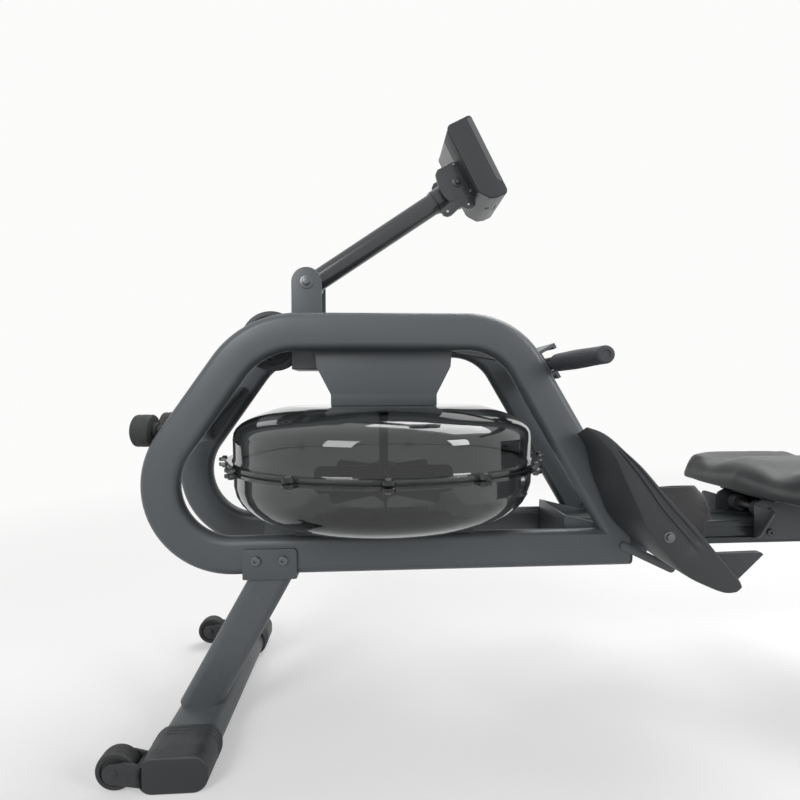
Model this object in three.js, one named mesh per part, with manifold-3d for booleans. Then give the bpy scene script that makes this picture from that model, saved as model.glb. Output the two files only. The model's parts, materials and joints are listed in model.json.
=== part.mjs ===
// A water rowing machine: two bent tube loops carry a round water tank with an impeller in it,
// a strap drive, a console on an arm, and a rail with a rolling seat.
// Millimetres. The shape is laid out from the tank's axis (x = 0, y = 0) and its seam (z = 0),
// with the seat end at +X, and the finished group is shifted so that the floor is z = 0.
import * as THREE from "three";
import { mergeVertices } from "three/addons/utils/BufferGeometryUtils.js";
import Module from "manifold-3d";

const wasm = await Module();
wasm.setup();

// Clearances
const gap = 0.3; // between pieces that touch
const running = 0.35; // round a turning shaft
const overrun = 4; // how far a cutting solid reaches past what it cuts
const weld = 0.01; // drawn corners nearer than this are one corner
const merge = 0.001; // a solid's corners nearer than this are one corner

// Frame loops
const tubeTall = 60;
const tubeWide = 30;
const loopSpacing = 152; // between the two loops' middle planes
const loopRise = 350; // from the bottom tube's middle line to the top tube's
const bendRadius = 111; // front and rear bends, to the tube's middle line
const noseRadius = 132; // bend between the front slope and the top tube
const frontLeanDeg = 54.7; // front slope, from the horizontal
const rearLeanDeg = 60; // rear leg of the loop, from the horizontal
const noseReach = 348; // tank axis to the middle line of the front bend
const topRearReach = 133; // tank axis to the centre of the rear bend
const loopEndReach = 395; // tank axis to the sawn rear end of the loops
const capThick = 4;

// Tank
const tankRadius = 250;
const tankTop = 91;
const tankDepth = 85; // seam to the underside
const tankWall = 4;
const seamRise = 141; // bottom tube's middle line to the seam
const flangeReach = 12;
const flangeThick = 5;
const sealThick = 2.4;
const tankMouth = 26; // hole in the tank's top round the shaft
const plugRadius = 18;
const plugReach = 115; // tank axis to the filler plug
const plugCapThick = 8;
const supportReach = 120; // tank axis to each cross bearer under the tank
const supportWide = 40;

// Hanger above the tank
const sheet = 4;
const hangerTopHalf = 111;
const hangerBottomHalf = 86;
const hangerShoulderRise = 63; // from the base to where the sides start to narrow
const hangerRise = 131; // whole height of the side plates
const stepInHalf = 109; // half width just under the top tubes

// Drive
const shaftRadius = 8;
const strapWide = 25;
const strapThick = 2;
const idlerReach = 190; // tank axis to the idler's axle
const idlerRise = 201.5; // seam to the idler's axle
const idlerRim = 50;
const idlerGroove = 35;
const idlerWide = 34;
const idlerAxle = 6;
const spoolDrum = 24;
const spoolWound = 38; // outside of the wound strap
const spoolRim = 50;
const spoolMiddle = 170; // height of the strap on the spool
const spoolRimThick = 4;
const impellerRadius = 122;
const bladeTall = 58;
const bladeThick = 5;
const bladeCount = 8;

// Handle
const barReach = 283;
const barRise = 160;
const barRadius = 11;
const eyeLong = 31; // handle bar to the strap's end in its eye
const gripRadius = 14.5;
const gripTipRadius = 12;
const handleHalf = 236; // half of the handle's length
const gripInner = 74; // where each grip starts, from the middle
const lipThick = 5;

// Console arm
const mastReach = 127.3;
const pivotRise = 297;
const earHalfWide = 25;
const earOuter = 35; // middle plane to an ear's outer face
const mastFoot = 156; // height of the mast bracket's underside
const armLength = 306;
const armRadius = 18;
const armLeanDeg = 33.9;
const sleeveRadius = 23; // sleeve at the mast's end
const collarRadius = 14.5; // collar at the console's end
const boltRadius = 6;
const boltHeadRadius = 10;
const boltHeadThick = 6;
const consoleTiltDeg = 27; // from the vertical
const consoleWide = 110;
const consoleTall = 142;
const consoleThick = 47;
const consoleDrop = 60; // console pivot to the console's lower edge, along its face
const consoleClear = 1.5; // collar to the console's back
const consoleStandoff = collarRadius + consoleClear; // console pivot to the console's back
const buttonRadius = 8;
const buttonTravel = 1.2;
const buttonSpacing = 32;
const lensInset = 12;

// Rail and seat
const railTop = -113;
const railTall = 41;
const railHalfWide = 40;
const railFrontReach = 302.5;
const railOverhang = 87.5; // rear leg to the rail's rear end
const railWall = 4;
const seatClear = 212; // pedal bar to the carriage, with the seat where it rests
const seatHalfLong = 130;
const seatHalfWide = 160;
const seatTopRise = -20;
const cushionTall = 50;
const carriageHalf = 110;
const rollerRadius = 15;
const rollerWide = 16;
const rollerReach = 85; // seat middle to each roller axle
const rollerSide = 26; // middle plane to each roller
const guideRadius = 6;

// Floor supports
const floorDrop = 415; // seam to the floor
const legLeanDeg = 29.4; // front legs, from the vertical
const legTopReach = 178.9; // tank axis to the leg's middle line under the bottom tube
const footReach = 284.5; // tank axis to the front foot's middle line
const footWide = 84;
const footTall = 41;
const footHalf = 200; // half of the front foot's length
const footLift = 4; // floor to the front foot tube
const footCapLong = 65;
const saddleTall = 43; // how far a saddle's cheek reaches up the tube
const saddleHalf = 41.5;
const saddleMiddle = 178.5;
const wheelRadius = 26;
const wheelWide = 20;
const wheelLift = 4;
const rearLegReach = 1560;
const rearFootHalf = 225;
const rearFootWide = 60;
const rearFootTall = 38;
const standFootRadius = 26;
const standFootThick = 30;
const standFootRise = 53.5;
const standFootSide = 50;
const standFootFace = 398; // tank axis to the rubber's outer face
const stemRadius = 9;

// Pedals
const pedalInner = 95; // middle plane to the pedal's inner edge
const pedalWide = 96;
const pedalToe = { x: 288, z: 74 };
const pedalSlopeDeg = 47.5; // below the horizontal, towards the heel
const pedalLong = 312;
const pedalDeep = 60;
const trayDeep = 7;
const rimWide = 5;
const pedalBarReach = 420;
const pedalBarRise = -98;
const pedalBarRadius = 11;
const bandStart = 149; // toe to the foot band's front edge at the sole
const bandLong = 106;
const bandRise = 48;
const bandCrown = 24; // length of the band over the instep
const bandThick = 2.5;
const heelStart = 256; // toe to the heel rest, along the pedal
const heelLong = 58;
const heelTall = 52;
const heelWall = 5;
const strutLow = { x: 461, z: -174 };
const strutHigh = { x: 384, z: -137 };
const strutHalf = 7;

const turn = (degrees) => (degrees * Math.PI) / 180;
const finish = (color, roughness, metalness) =>
  new THREE.MeshStandardMaterial({ color, roughness, metalness });
const finishes = {
  frame: finish(0x5f6265, 0.45, 0.3),
  black: finish(0x1c1d1f, 0.55, 0.0),
  rubber: finish(0x161616, 0.85, 0.0),
  steel: finish(0x9a9da0, 0.35, 0.9),
  shell: finish(0x3b4144, 0.08, 0.0),
  seal: finish(0x0f1011, 0.7, 0.0),
  webbing: finish(0x242424, 0.9, 0.0),
  padding: finish(0x2a2a2b, 0.7, 0.0),
  rail: finish(0x2e3437, 0.35, 0.6),
  cover: finish(0x8d908f, 0.5, 0.0),
  screen: finish(0x101418, 0.1, 0.0),
};

const model = new THREE.Group();
const layout = new THREE.Group();
model.add(layout);

// Adds one named piece to the layout.
function add(name, geometry, finishName) {
  const mesh = new THREE.Mesh(geometry, finishes[finishName]);
  mesh.name = name;
  layout.add(mesh);
  return mesh;
}

// Turns a closed geometry into a solid that can be joined and cut.
function solidOf(geometry) {
  const bare = new THREE.BufferGeometry();
  bare.setAttribute("position", geometry.getAttribute("position").clone());
  if (geometry.index) bare.setIndex(geometry.index.clone());
  const merged = mergeVertices(bare, merge);
  return new wasm.Manifold(
    new wasm.Mesh({
      numProp: 3,
      vertProperties: new Float32Array(merged.getAttribute("position").array),
      triVerts: new Uint32Array(merged.index.array),
    }),
  );
}

// Turns a solid back into a geometry with flat facets.
function geometryOf(solid) {
  const mesh = solid.getMesh();
  const geometry = new THREE.BufferGeometry();
  geometry.setAttribute("position", new THREE.BufferAttribute(mesh.vertProperties, 3));
  geometry.setIndex(new THREE.BufferAttribute(mesh.triVerts, 1));
  const flat = geometry.toNonIndexed();
  flat.computeVertexNormals();
  return flat;
}

const join = (...parts) =>
  geometryOf(parts.map(solidOf).reduce((whole, part) => whole.add(part)));
const cut = (base, ...tools) =>
  geometryOf(tools.map(solidOf).reduce((rest, tool) => rest.subtract(tool), solidOf(base)));

// A box between two corners.
function box(x0, x1, y0, y1, z0, z1) {
  const made = new THREE.BoxGeometry(x1 - x0, y1 - y0, z1 - z0);
  return made.translate((x0 + x1) / 2, (y0 + y1) / 2, (z0 + z1) / 2);
}

// A round bar along an axis, from one place on it to another.
function rod(axis, radius, from, to, at, sides = 16) {
  const made = new THREE.CylinderGeometry(radius, radius, to - from, sides);
  const middle = (from + to) / 2;
  if (axis === "x") return made.rotateZ(-Math.PI / 2).translate(middle, at[0], at[1]);
  if (axis === "y") return made.translate(at[0], middle, at[1]);
  return made.rotateX(Math.PI / 2).translate(at[0], at[1], middle);
}

// A turned shape about a vertical axis, from [radius, height] points.
function turned(points, sides) {
  const profile = points.map(([r, z]) => new THREE.Vector2(r, z));
  return new THREE.LatheGeometry(profile, sides).rotateX(Math.PI / 2);
}

// A flat outline in the X-Z plane, made thick along Y between y0 and y1.
function slabXZ(outline, y0, y1, options = {}) {
  const made = new THREE.ExtrudeGeometry(outline, {
    depth: y1 - y0,
    bevelEnabled: false,
    curveSegments: 6,
    ...options,
  });
  return made.rotateX(Math.PI / 2).translate(0, y1, 0);
}

// A flat outline in the Y-Z plane, made thick along X between x0 and x1.
function slabYZ(outline, x0, x1) {
  const made = new THREE.ExtrudeGeometry(outline, {
    depth: x1 - x0,
    bevelEnabled: false,
    curveSegments: 6,
  });
  const basis = new THREE.Matrix4().makeBasis(
    new THREE.Vector3(0, 1, 0),
    new THREE.Vector3(0, 0, 1),
    new THREE.Vector3(1, 0, 0),
  );
  return made.applyMatrix4(basis).translate(x0, 0, 0);
}

function outlineOf(points) {
  return new THREE.Shape(points.map(([x, z]) => new THREE.Vector2(x, z)));
}

// The corners of a drawn path, without the doubled ones where a line meets an arc.
function cornersOf(path, steps = 5) {
  const points = path.getPoints(steps);
  return points.filter((point, i) => {
    const next = points[(i + 1) % points.length];
    return point.distanceTo(next) > weld;
  });
}

// A rectangle with rounded corners, centred where asked.
function roundedOutline(x, z, width, height, radius) {
  const shape = new THREE.Path();
  const [left, right] = [x - width / 2, x + width / 2];
  const [low, high] = [z - height / 2, z + height / 2];
  shape.moveTo(left + radius, low);
  shape.absarc(right - radius, low + radius, radius, -Math.PI / 2, 0, false);
  shape.absarc(right - radius, high - radius, radius, 0, Math.PI / 2, false);
  shape.absarc(left + radius, high - radius, radius, Math.PI / 2, Math.PI, false);
  shape.absarc(left + radius, low + radius, radius, Math.PI, Math.PI * 1.5, false);
  return new THREE.Shape(cornersOf(shape, 4));
}

// Both sides of the machine, as the rower sees them: the left side is at -Y.
const sides = [
  { name: "left", sign: -1 },
  { name: "right", sign: 1 },
];
// The span between two distances from the middle plane, on one side.
const span = (sign, near, far) => (sign < 0 ? [-far, -near] : [near, far]);

// Frame loops: bottom tube, front bend, front slope, top tube, rear bend and rear leg
const loopMiddle = loopSpacing / 2;
const loopInner = loopMiddle - tubeWide / 2;
const loopOuter = loopMiddle + tubeWide / 2;
const bottomLine = -seamRise;
const topLine = bottomLine + loopRise;
const tubeTop = topLine + tubeTall / 2;
const floorTubeTop = bottomLine + tubeTall / 2;
const floorTubeLow = bottomLine - tubeTall / 2;
const frontNormal = turn(90 + frontLeanDeg);
const rearNormal = turn(90 - rearLeanDeg);
const frontBend = { x: bendRadius - noseReach, z: bottomLine + bendRadius };
const noseCentreZ = topLine - noseRadius;
const slopeRise =
  noseCentreZ + noseRadius * Math.sin(frontNormal) -
  (frontBend.z + bendRadius * Math.sin(frontNormal));
const noseBend = {
  x: frontBend.x + slopeRise / Math.tan(turn(frontLeanDeg)) +
    (bendRadius - noseRadius) * Math.cos(frontNormal),
  z: noseCentreZ,
};
const rearBend = { x: topRearReach, z: topLine - bendRadius };
// A point on the rear leg's line at a height, set off to the rear by a distance.
const legPoint = (z, offset) => {
  const start = {
    x: rearBend.x + (bendRadius + offset) * Math.cos(rearNormal),
    z: rearBend.z + (bendRadius + offset) * Math.sin(rearNormal),
  };
  return start.x + (start.z - z) / Math.tan(turn(rearLeanDeg));
};

function loopOutline(path, offset) {
  const low = bottomLine - offset;
  path.moveTo(legPoint(low, offset), low);
  path.lineTo(frontBend.x, low);
  const [front, nose] = [bendRadius + offset, noseRadius + offset];
  path.absarc(frontBend.x, frontBend.z, front, -Math.PI / 2, frontNormal - 2 * Math.PI, true);
  path.absarc(noseBend.x, noseBend.z, nose, frontNormal, Math.PI / 2, true);
  path.absarc(rearBend.x, rearBend.z, front, Math.PI / 2, rearNormal, true);
  path.closePath();
  return path;
}

function makeLoop(sign) {
  const roundness = tubeWide / 2;
  const band = (tubeTall - tubeWide) / 2;
  const shape = new THREE.Shape(cornersOf(loopOutline(new THREE.Path(), band)));
  shape.holes.push(
    new THREE.Path(cornersOf(loopOutline(new THREE.Path(), -band)).reverse()),
  );
  const middle = sign * loopMiddle;
  const skin = 0.2; // the flat strip between the tube's two rounded edges
  const made = slabXZ(shape, middle - skin, middle + skin, {
    bevelEnabled: true,
    bevelSize: roundness,
    bevelThickness: roundness - skin,
    bevelSegments: 3,
  });
  const past = loopEndReach + tubeTall * 4;
  return cut(
    made,
    box(
      loopEndReach, past, middle - tubeWide, middle + tubeWide,
      floorTubeLow - tubeTall, tubeTop,
    ),
  );
}

const endFaceTop = bottomLine + (legPoint(bottomLine, tubeTall / 2) - loopEndReach) *
  Math.tan(turn(rearLeanDeg));
for (const { name, sign } of sides) {
  add(`${name}_loop`, makeLoop(sign), "frame");
  const tall = endFaceTop - floorTubeLow;
  const face = roundedOutline(
    sign * loopMiddle, floorTubeLow + tall / 2, tubeWide, tall, tubeWide / 2 - gap,
  );
  add(
    `${name}_loop_cap`,
    slabYZ(face, loopEndReach + gap, loopEndReach + gap + capThick),
    "black",
  );
}

// Front cross plate between the loops, which carries the two standing feet
const spanInner = loopInner - gap;
const plateTop = { x: -251, z: 122.6 };
const plateBend = { x: -315.3, z: 51 };
const plateFoot = { x: -311.9, z: 29.7 };
const plateStem = standFootFace - standFootThick;
add(
  "front_cross_plate",
  slabXZ(
    outlineOf([
      [plateTop.x, plateTop.z],
      [plateBend.x, plateBend.z],
      [plateFoot.x, plateFoot.z],
      [plateFoot.x - sheet, plateFoot.z],
      [plateBend.x - sheet, plateBend.z - sheet / 2],
      [plateBend.x - sheet, standFootRise + stemRadius + sheet],
      [plateTop.x - sheet, plateTop.z + sheet / 2],
    ]),
    -spanInner, spanInner,
  ),
  "frame",
);
for (const { name, sign } of sides) {
  const [back, face] = [-plateStem, -standFootFace];
  const soft = standFootRadius / 5;
  const stemEnd = plateBend.x - sheet - gap;
  const profile = [
    [0, face],
    [standFootRadius - soft, face],
    [standFootRadius, face + soft],
    [standFootRadius, back - soft],
    [standFootRadius - soft, back],
    [stemRadius, back],
    [stemRadius, stemEnd],
    [0, stemEnd],
  ];
  const foot = new THREE.LatheGeometry(profile.map(([r, x]) => new THREE.Vector2(r, x)), 24)
    .rotateZ(-Math.PI / 2)
    .translate(0, sign * standFootSide, standFootRise);
  add(`${name}_standing_foot`, foot, "rubber");
}

// Tank shells, seal, filler plug and cross bearers
const flangeRadius = tankRadius + flangeReach;
const sealHalf = sealThick / 2;
const topFlatShare = 0.66;
const topFlatRadius = tankRadius * topFlatShare;
const shellSides = 40;
const shoulderShares = [
  [1, 0.4],
  [0.975, 0.59],
  [0.905, 0.735],
  [0.815, 0.815],
  [0.69, 0.975],
];
const bellyShares = [
  [1, 0.32],
  [0.985, 0.58],
  [0.93, 0.85],
  [0.78, 1],
];

// The shell's outside points at one distance in from its outer face.
function shellSide(shares, height, inset) {
  const reach = height - Math.sign(height) * inset;
  return shares.map(([r, h]) => [tankRadius * r - inset, reach * h]);
}

function makeUpperShell() {
  const outer = shellSide(shoulderShares, tankTop, 0);
  const inner = shellSide(shoulderShares, tankTop, tankWall).reverse();
  const body = turned(
    [
      [flangeRadius, sealHalf + gap],
      [flangeRadius, sealHalf + flangeThick],
      [tankRadius, sealHalf + flangeThick],
      ...outer,
      [topFlatRadius, tankTop],
      [tankMouth, tankTop],
      [tankMouth, tankTop - tankWall],
      [topFlatRadius - tankWall, tankTop - tankWall],
      ...inner,
      [tankRadius - tankWall, sealHalf + gap],
      [flangeRadius, sealHalf + gap],
    ],
    shellSides,
  );
  const hole = rod("z", plugRadius - tankWall + gap, tankTop - tankWall * 3, tankTop + overrun,
    [0, plugReach]);
  return cut(body, hole);
}

function makeLowerShell() {
  const floor = tankWall - tankDepth;
  const boss = shaftRadius * 2.2;
  return turned(
    [
      [tankRadius - tankWall, -sealHalf - gap],
      ...shellSide(bellyShares, -tankDepth, tankWall),
      [boss, floor],
      [boss, floor + tankWall],
      [0, floor + tankWall],
      [0, -tankDepth],
      ...shellSide(bellyShares, -tankDepth, 0).reverse(),
      [tankRadius, -sealHalf - flangeThick],
      [flangeRadius, -sealHalf - flangeThick],
      [flangeRadius, -sealHalf - gap],
      [tankRadius - tankWall, -sealHalf - gap],
    ],
    shellSides,
  );
}

add("upper_tank_shell", makeUpperShell(), "shell");
add("lower_tank_shell", makeLowerShell(), "shell");
add(
  "tank_seal",
  turned(
    [
      [tankRadius - tankWall, -sealHalf],
      [flangeRadius - sealThick, -sealHalf],
      [flangeRadius - sealThick, sealHalf],
      [tankRadius - tankWall, sealHalf],
      [tankRadius - tankWall, -sealHalf],
    ],
    56,
  ),
  "seal",
);
const plugSpigot = plugRadius - tankWall;
add(
  "filler_plug",
  turned(
    [
      [0, tankTop - tankWall * 2],
      [plugSpigot - gap, tankTop - tankWall * 2],
      [plugSpigot - gap, tankTop + gap],
      [plugRadius, tankTop + gap],
      [plugRadius, tankTop + plugCapThick - sheet / 2],
      [plugRadius - sheet / 2, tankTop + plugCapThick],
      [0, tankTop + plugCapThick],
    ],
    20,
  ).translate(0, plugReach, 0),
  "black",
);
for (const [name, sign] of [["front", -1], ["rear", 1]]) {
  const middle = sign * supportReach;
  add(
    `${name}_tank_bearer`,
    box(
      middle - supportWide / 2, middle + supportWide / 2, -loopOuter + gap, loopOuter - gap,
      floorTubeTop + gap, -tankDepth - gap,
    ),
    "black",
  );
}

// Hanger: a folded sheet from the top tubes down to the tank's top
const hangerBase = tankTop + gap;
const hangerSideTop = hangerBase + hangerRise;
const hangerFootShare = 0.14; // of its height, up to where the sides widen
const hangerStepShare = 0.17; // of its height, from the shoulder to full width
const hangerFoot = hangerBase + hangerRise * hangerFootShare;
const hangerShoulder = hangerBase + hangerShoulderRise;
const hangerStep = hangerShoulder + hangerRise * hangerStepShare;
const hangerSide = outlineOf([
  [-hangerBottomHalf, hangerBase],
  [hangerBottomHalf, hangerBase],
  [hangerBottomHalf, hangerFoot],
  [stepInHalf, hangerShoulder],
  [hangerTopHalf, hangerStep],
  [hangerTopHalf, hangerSideTop],
  [-hangerTopHalf, hangerSideTop],
  [-hangerTopHalf, hangerStep],
  [-stepInHalf, hangerShoulder],
  [-hangerBottomHalf, hangerFoot],
]);
add(
  "tank_hanger",
  geometryOf(
    solidOf(slabXZ(hangerSide, -spanInner, -spanInner + sheet))
      .add(solidOf(slabXZ(hangerSide, spanInner - sheet, spanInner)))
      .add(solidOf(box(
        -hangerBottomHalf, hangerBottomHalf, -spanInner, spanInner,
        hangerBase, hangerBase + sheet,
      )))
      .subtract(solidOf(rod("z", shaftRadius + running, hangerBase - overrun,
        hangerBase + sheet + overrun, [0, 0]))),
  ),
  "frame",
);

// Shaft with the impeller, and the strap spool that turns round the shaft
const spoolFoot = hangerBase + sheet + gap;
const spoolLow = spoolMiddle - strapWide / 2 - gap * 3;
const spoolHigh = spoolMiddle + strapWide / 2 + gap * 3;
const shaftTop = spoolHigh + spoolRimThick + gap * 8;
function makeImpeller() {
  const low = tankWall * 2 - tankDepth + gap;
  const bladeLow = low + tankWall * 2;
  const hub = impellerRadius / 6;
  let whole = solidOf(rod("z", shaftRadius, low, shaftTop, [0, 0]))
    .add(solidOf(rod("z", hub, bladeLow, bladeLow + bladeTall, [0, 0])));
  for (let i = 0; i < bladeCount; i += 1) {
    const blade = box(
      shaftRadius / 2, impellerRadius, -bladeThick / 2, bladeThick / 2,
      bladeLow + bladeThick, bladeLow + bladeTall - bladeThick,
    ).rotateZ((i * 2 * Math.PI) / bladeCount);
    whole = whole.add(solidOf(blade));
  }
  return geometryOf(whole);
}
add("impeller", makeImpeller(), "black");
add(
  "strap_spool",
  cut(
    turned(
      [
        [0, spoolFoot],
        [spoolDrum, spoolFoot],
        [spoolDrum, spoolLow - spoolRimThick],
        [spoolRim, spoolLow - spoolRimThick],
        [spoolRim, spoolLow],
        [spoolWound - strapThick, spoolLow],
        [spoolWound - strapThick, spoolHigh],
        [spoolRim, spoolHigh],
        [spoolRim, spoolHigh + spoolRimThick],
        [0, spoolHigh + spoolRimThick],
      ],
      28,
    ),
    rod("z", shaftRadius + running, spoolFoot - overrun, spoolHigh + spoolRimThick + overrun, [0, 0]),
  ),
  "black",
);

// Idler wheel at the front of the top tubes, on an axle between the loops
const idlerAt = [-idlerReach, idlerRise];
add(
  "idler_wheel",
  cut(
    turned(
      [
        [0, -idlerWide / 2],
        [idlerRim, -idlerWide / 2],
        [idlerRim, -strapWide / 2 - gap],
        [idlerGroove, -strapWide / 2 - gap],
        [idlerGroove, strapWide / 2 + gap],
        [idlerRim, strapWide / 2 + gap],
        [idlerRim, idlerWide / 2],
        [0, idlerWide / 2],
      ],
      32,
    ).rotateX(-Math.PI / 2).translate(-idlerReach, 0, idlerRise),
    rod("y", idlerAxle + running, -idlerWide, idlerWide, idlerAt),
  ),
  "black",
);
add(
  "idler_axle",
  join(
    rod("y", idlerAxle, -spanInner, spanInner, idlerAt),
    rod("y", idlerAxle * 2, -spanInner, -idlerWide / 2 - gap, idlerAt),
    rod("y", idlerAxle * 2, idlerWide / 2 + gap, spanInner, idlerAt),
  ),
  "steel",
);

// A flat strap along places with a width direction at each
function ribbon(places, widths, wide, thick) {
  const rings = places.map((place, i) => {
    const before = places[Math.max(i - 1, 0)];
    const after = places[Math.min(i + 1, places.length - 1)];
    const along = after.clone().sub(before).normalize();
    const across = widths[i].clone().normalize();
    const up = along.clone().cross(across).normalize();
    return [[-1, -1], [1, -1], [1, 1], [-1, 1]].map(([a, b]) =>
      place.clone()
        .addScaledVector(across, (a * wide) / 2)
        .addScaledVector(up, (b * thick) / 2));
  });
  const points = rings.flat();
  const faces = [0, 1, 2, 0, 2, 3];
  for (let i = 0; i + 1 < rings.length; i += 1) {
    for (let k = 0; k < 4; k += 1) {
      const [a, b] = [4 * i + k, 4 * i + ((k + 1) % 4)];
      faces.push(a, a + 4, b, b, a + 4, b + 4);
    }
  }
  const last = points.length - 4;
  faces.push(last, last + 2, last + 1, last, last + 3, last + 2);
  const geometry = new THREE.BufferGeometry().setFromPoints(points);
  geometry.setIndex(faces);
  if (solidOf(geometry).volume() < 0) geometry.setIndex(faces.reverse());
  const flat = geometry.toNonIndexed();
  flat.computeVertexNormals();
  return flat;
}

// The strap: handle, over the idler, round its front, and back to the spool with a quarter twist
const strapRadius = idlerGroove + strapThick / 2 + gap;
const eyeReach = barReach - eyeLong;
const strapFall = Math.atan2(idlerRise + strapRadius - barRise, eyeReach + idlerReach);
const leaveAngle = Math.PI / 2 - strapFall;
const onIdler = (angle) => new THREE.Vector3(
  -idlerReach + strapRadius * Math.cos(angle), 0, idlerRise + strapRadius * Math.sin(angle),
);
const strapLeave = onIdler(leaveAngle);
const wrapSteps = 14;
const twistSteps = 10;
function makeDriveStrap() {
  const places = [];
  const widths = [];
  for (let i = 0; i <= wrapSteps; i += 1) {
    const angle = leaveAngle + ((1.5 * Math.PI - leaveAngle) * i) / wrapSteps;
    places.push(onIdler(angle));
    widths.push(new THREE.Vector3(0, 1, 0));
  }
  const start = onIdler(1.5 * Math.PI);
  start.x += Math.sqrt(idlerRim ** 2 - idlerGroove ** 2);
  const end = new THREE.Vector3(0, spoolWound - strapThick / 2 + gap, spoolMiddle);
  for (let i = 0; i <= twistSteps; i += 1) {
    const share = i / twistSteps;
    const eased = share * share * (3 - 2 * share);
    const twist = (Math.PI / 2) * eased;
    places.push(new THREE.Vector3(
      start.x + (end.x - start.x) * share,
      end.y * eased,
      start.z + (end.z - start.z) * eased,
    ));
    widths.push(new THREE.Vector3(0, Math.cos(twist), Math.sin(twist)));
  }
  return ribbon(places, widths, strapWide, strapThick);
}
add("drive_strap", makeDriveStrap(), "webbing");

// Handle: bar with an eye for the strap, and two grips
const eye = { front: eyeReach, wide: strapWide + sheet * 2, half: sheet };
const pullEnd = new THREE.Vector3(eye.front - gap, 0, barRise);
const pullStart = strapLeave.clone()
  .addScaledVector(pullEnd.clone().sub(strapLeave).normalize(), gap);
add(
  "pull_strap",
  ribbon(
    [pullStart, pullStart.clone().lerp(pullEnd, 0.5), pullEnd],
    [0, 1, 2].map(() => new THREE.Vector3(0, 1, 0)),
    strapWide, strapThick,
  ),
  "webbing",
);
const barAt = [barReach, barRise];
add(
  "handle_bar",
  join(
    rod("y", barRadius, -handleHalf + sheet + gap, handleHalf - sheet - gap, barAt),
    box(
      eye.front, barReach, -eye.wide / 2, eye.wide / 2, barRise - eye.half, barRise + eye.half,
    ),
  ),
  "steel",
);
for (const { name, sign } of sides) {
  const profile = [
    [barRadius + gap, gripInner],
    [gripRadius, gripInner],
    [gripRadius, gripInner + (handleHalf - gripInner) / 3],
    [gripTipRadius, handleHalf - sheet],
    [gripTipRadius - sheet / 2, handleHalf],
    [0, handleHalf],
    [0, handleHalf - sheet],
    [barRadius + gap, handleHalf - sheet],
    [barRadius + gap, gripInner],
  ];
  const grip = new THREE.LatheGeometry(profile.map(([r, y]) => new THREE.Vector2(r, y)), 20);
  if (sign < 0) grip.rotateX(Math.PI);
  add(`${name}_grip`, grip.translate(barReach, 0, barRise), "rubber");
}

// Handle rest: a cradle between the rear legs with an upper and a lower lip
const legDirection = { x: Math.cos(turn(rearLeanDeg)), z: -Math.sin(turn(rearLeanDeg)) };
const legNormal = { x: Math.cos(rearNormal), z: Math.sin(rearNormal) };
const restAt = (along, out) => [
  legPoint(barRise, tubeTall / 2) + legDirection.x * along + legNormal.x * out,
  barRise + legDirection.z * along + legNormal.z * out,
];
const barSeat = { along: 11.5, out: 19.9 }; // the bar's place against the rest
const restFace = barSeat.out - barRadius - gap;
const lowLip = barSeat.along + barRadius + gap;
const restTop = -18;
const upperTip = 35.5;
const lowerTip = 17.4;
const lipHook = 9;
add(
  "handle_rest",
  cut(
    slabXZ(
      outlineOf([
        restAt(restTop, restFace - lipThick),
        restAt(restTop, upperTip),
        restAt(restTop + lipHook, upperTip),
        restAt(restTop + lipHook, upperTip - lipThick),
        restAt(restTop + lipThick, upperTip - lipThick),
        restAt(restTop + lipThick, restFace),
        restAt(lowLip, restFace),
        restAt(lowLip, lowerTip),
        restAt(lowLip + lipThick + lipHook, lowerTip),
        restAt(lowLip + lipThick + lipHook, lowerTip - lipThick),
        restAt(lowLip + lipThick, lowerTip - lipThick),
        restAt(lowLip + lipThick, restFace - lipThick),
      ]),
      -spanInner, spanInner,
    ),
    box(
      legPoint(barRise, -tubeTall), barReach, -eye.wide / 2 - sheet, eye.wide / 2 + sheet,
      barRise - lipThick * 2, barRise + lipThick * 3,
    ),
  ),
  "frame",
);

// Mast bracket between the loops, with two ears for the console arm
const earInner = earOuter - sheet;
const earTop = new THREE.Shape();
earTop.moveTo(-mastReach - earHalfWide, mastFoot);
earTop.lineTo(-mastReach + earHalfWide, mastFoot);
earTop.absarc(-mastReach, pivotRise, earHalfWide, 0, Math.PI, false);
const mastAt = [-mastReach, pivotRise];
const wingLow = topLine - tubeTall / 4;
const wingHigh = topLine + tubeTall / 4;
const wing = (y0, y1) => box(
  -mastReach - earHalfWide, -mastReach + earHalfWide - sheet * 3, y0, y1, wingLow, wingHigh,
);
add(
  "mast_bracket",
  geometryOf(
    solidOf(slabXZ(earTop, -earOuter, -earInner))
      .add(solidOf(slabXZ(earTop, earInner, earOuter)))
      .add(solidOf(box(
        -mastReach - earHalfWide, -mastReach + earHalfWide, -earOuter, earOuter,
        mastFoot - sheet, mastFoot,
      )))
      .add(solidOf(wing(-spanInner, -earInner)))
      .add(solidOf(wing(earInner, spanInner)))
      .subtract(solidOf(rod("y", boltRadius + gap, -earOuter - overrun, earOuter + overrun, mastAt))),
  ),
  "frame",
);

// A through bolt along Y with a head at each end
function crossBolt(at, reach) {
  const face = reach + gap;
  return join(
    rod("y", boltRadius, -face - boltHeadThick, face + boltHeadThick, at),
    rod("y", boltHeadRadius, -face - boltHeadThick, -face, at, 6),
    rod("y", boltHeadRadius, face, face + boltHeadThick, at, 6),
  );
}
add("mast_pivot_bolt", crossBolt(mastAt, earOuter), "steel");

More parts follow.
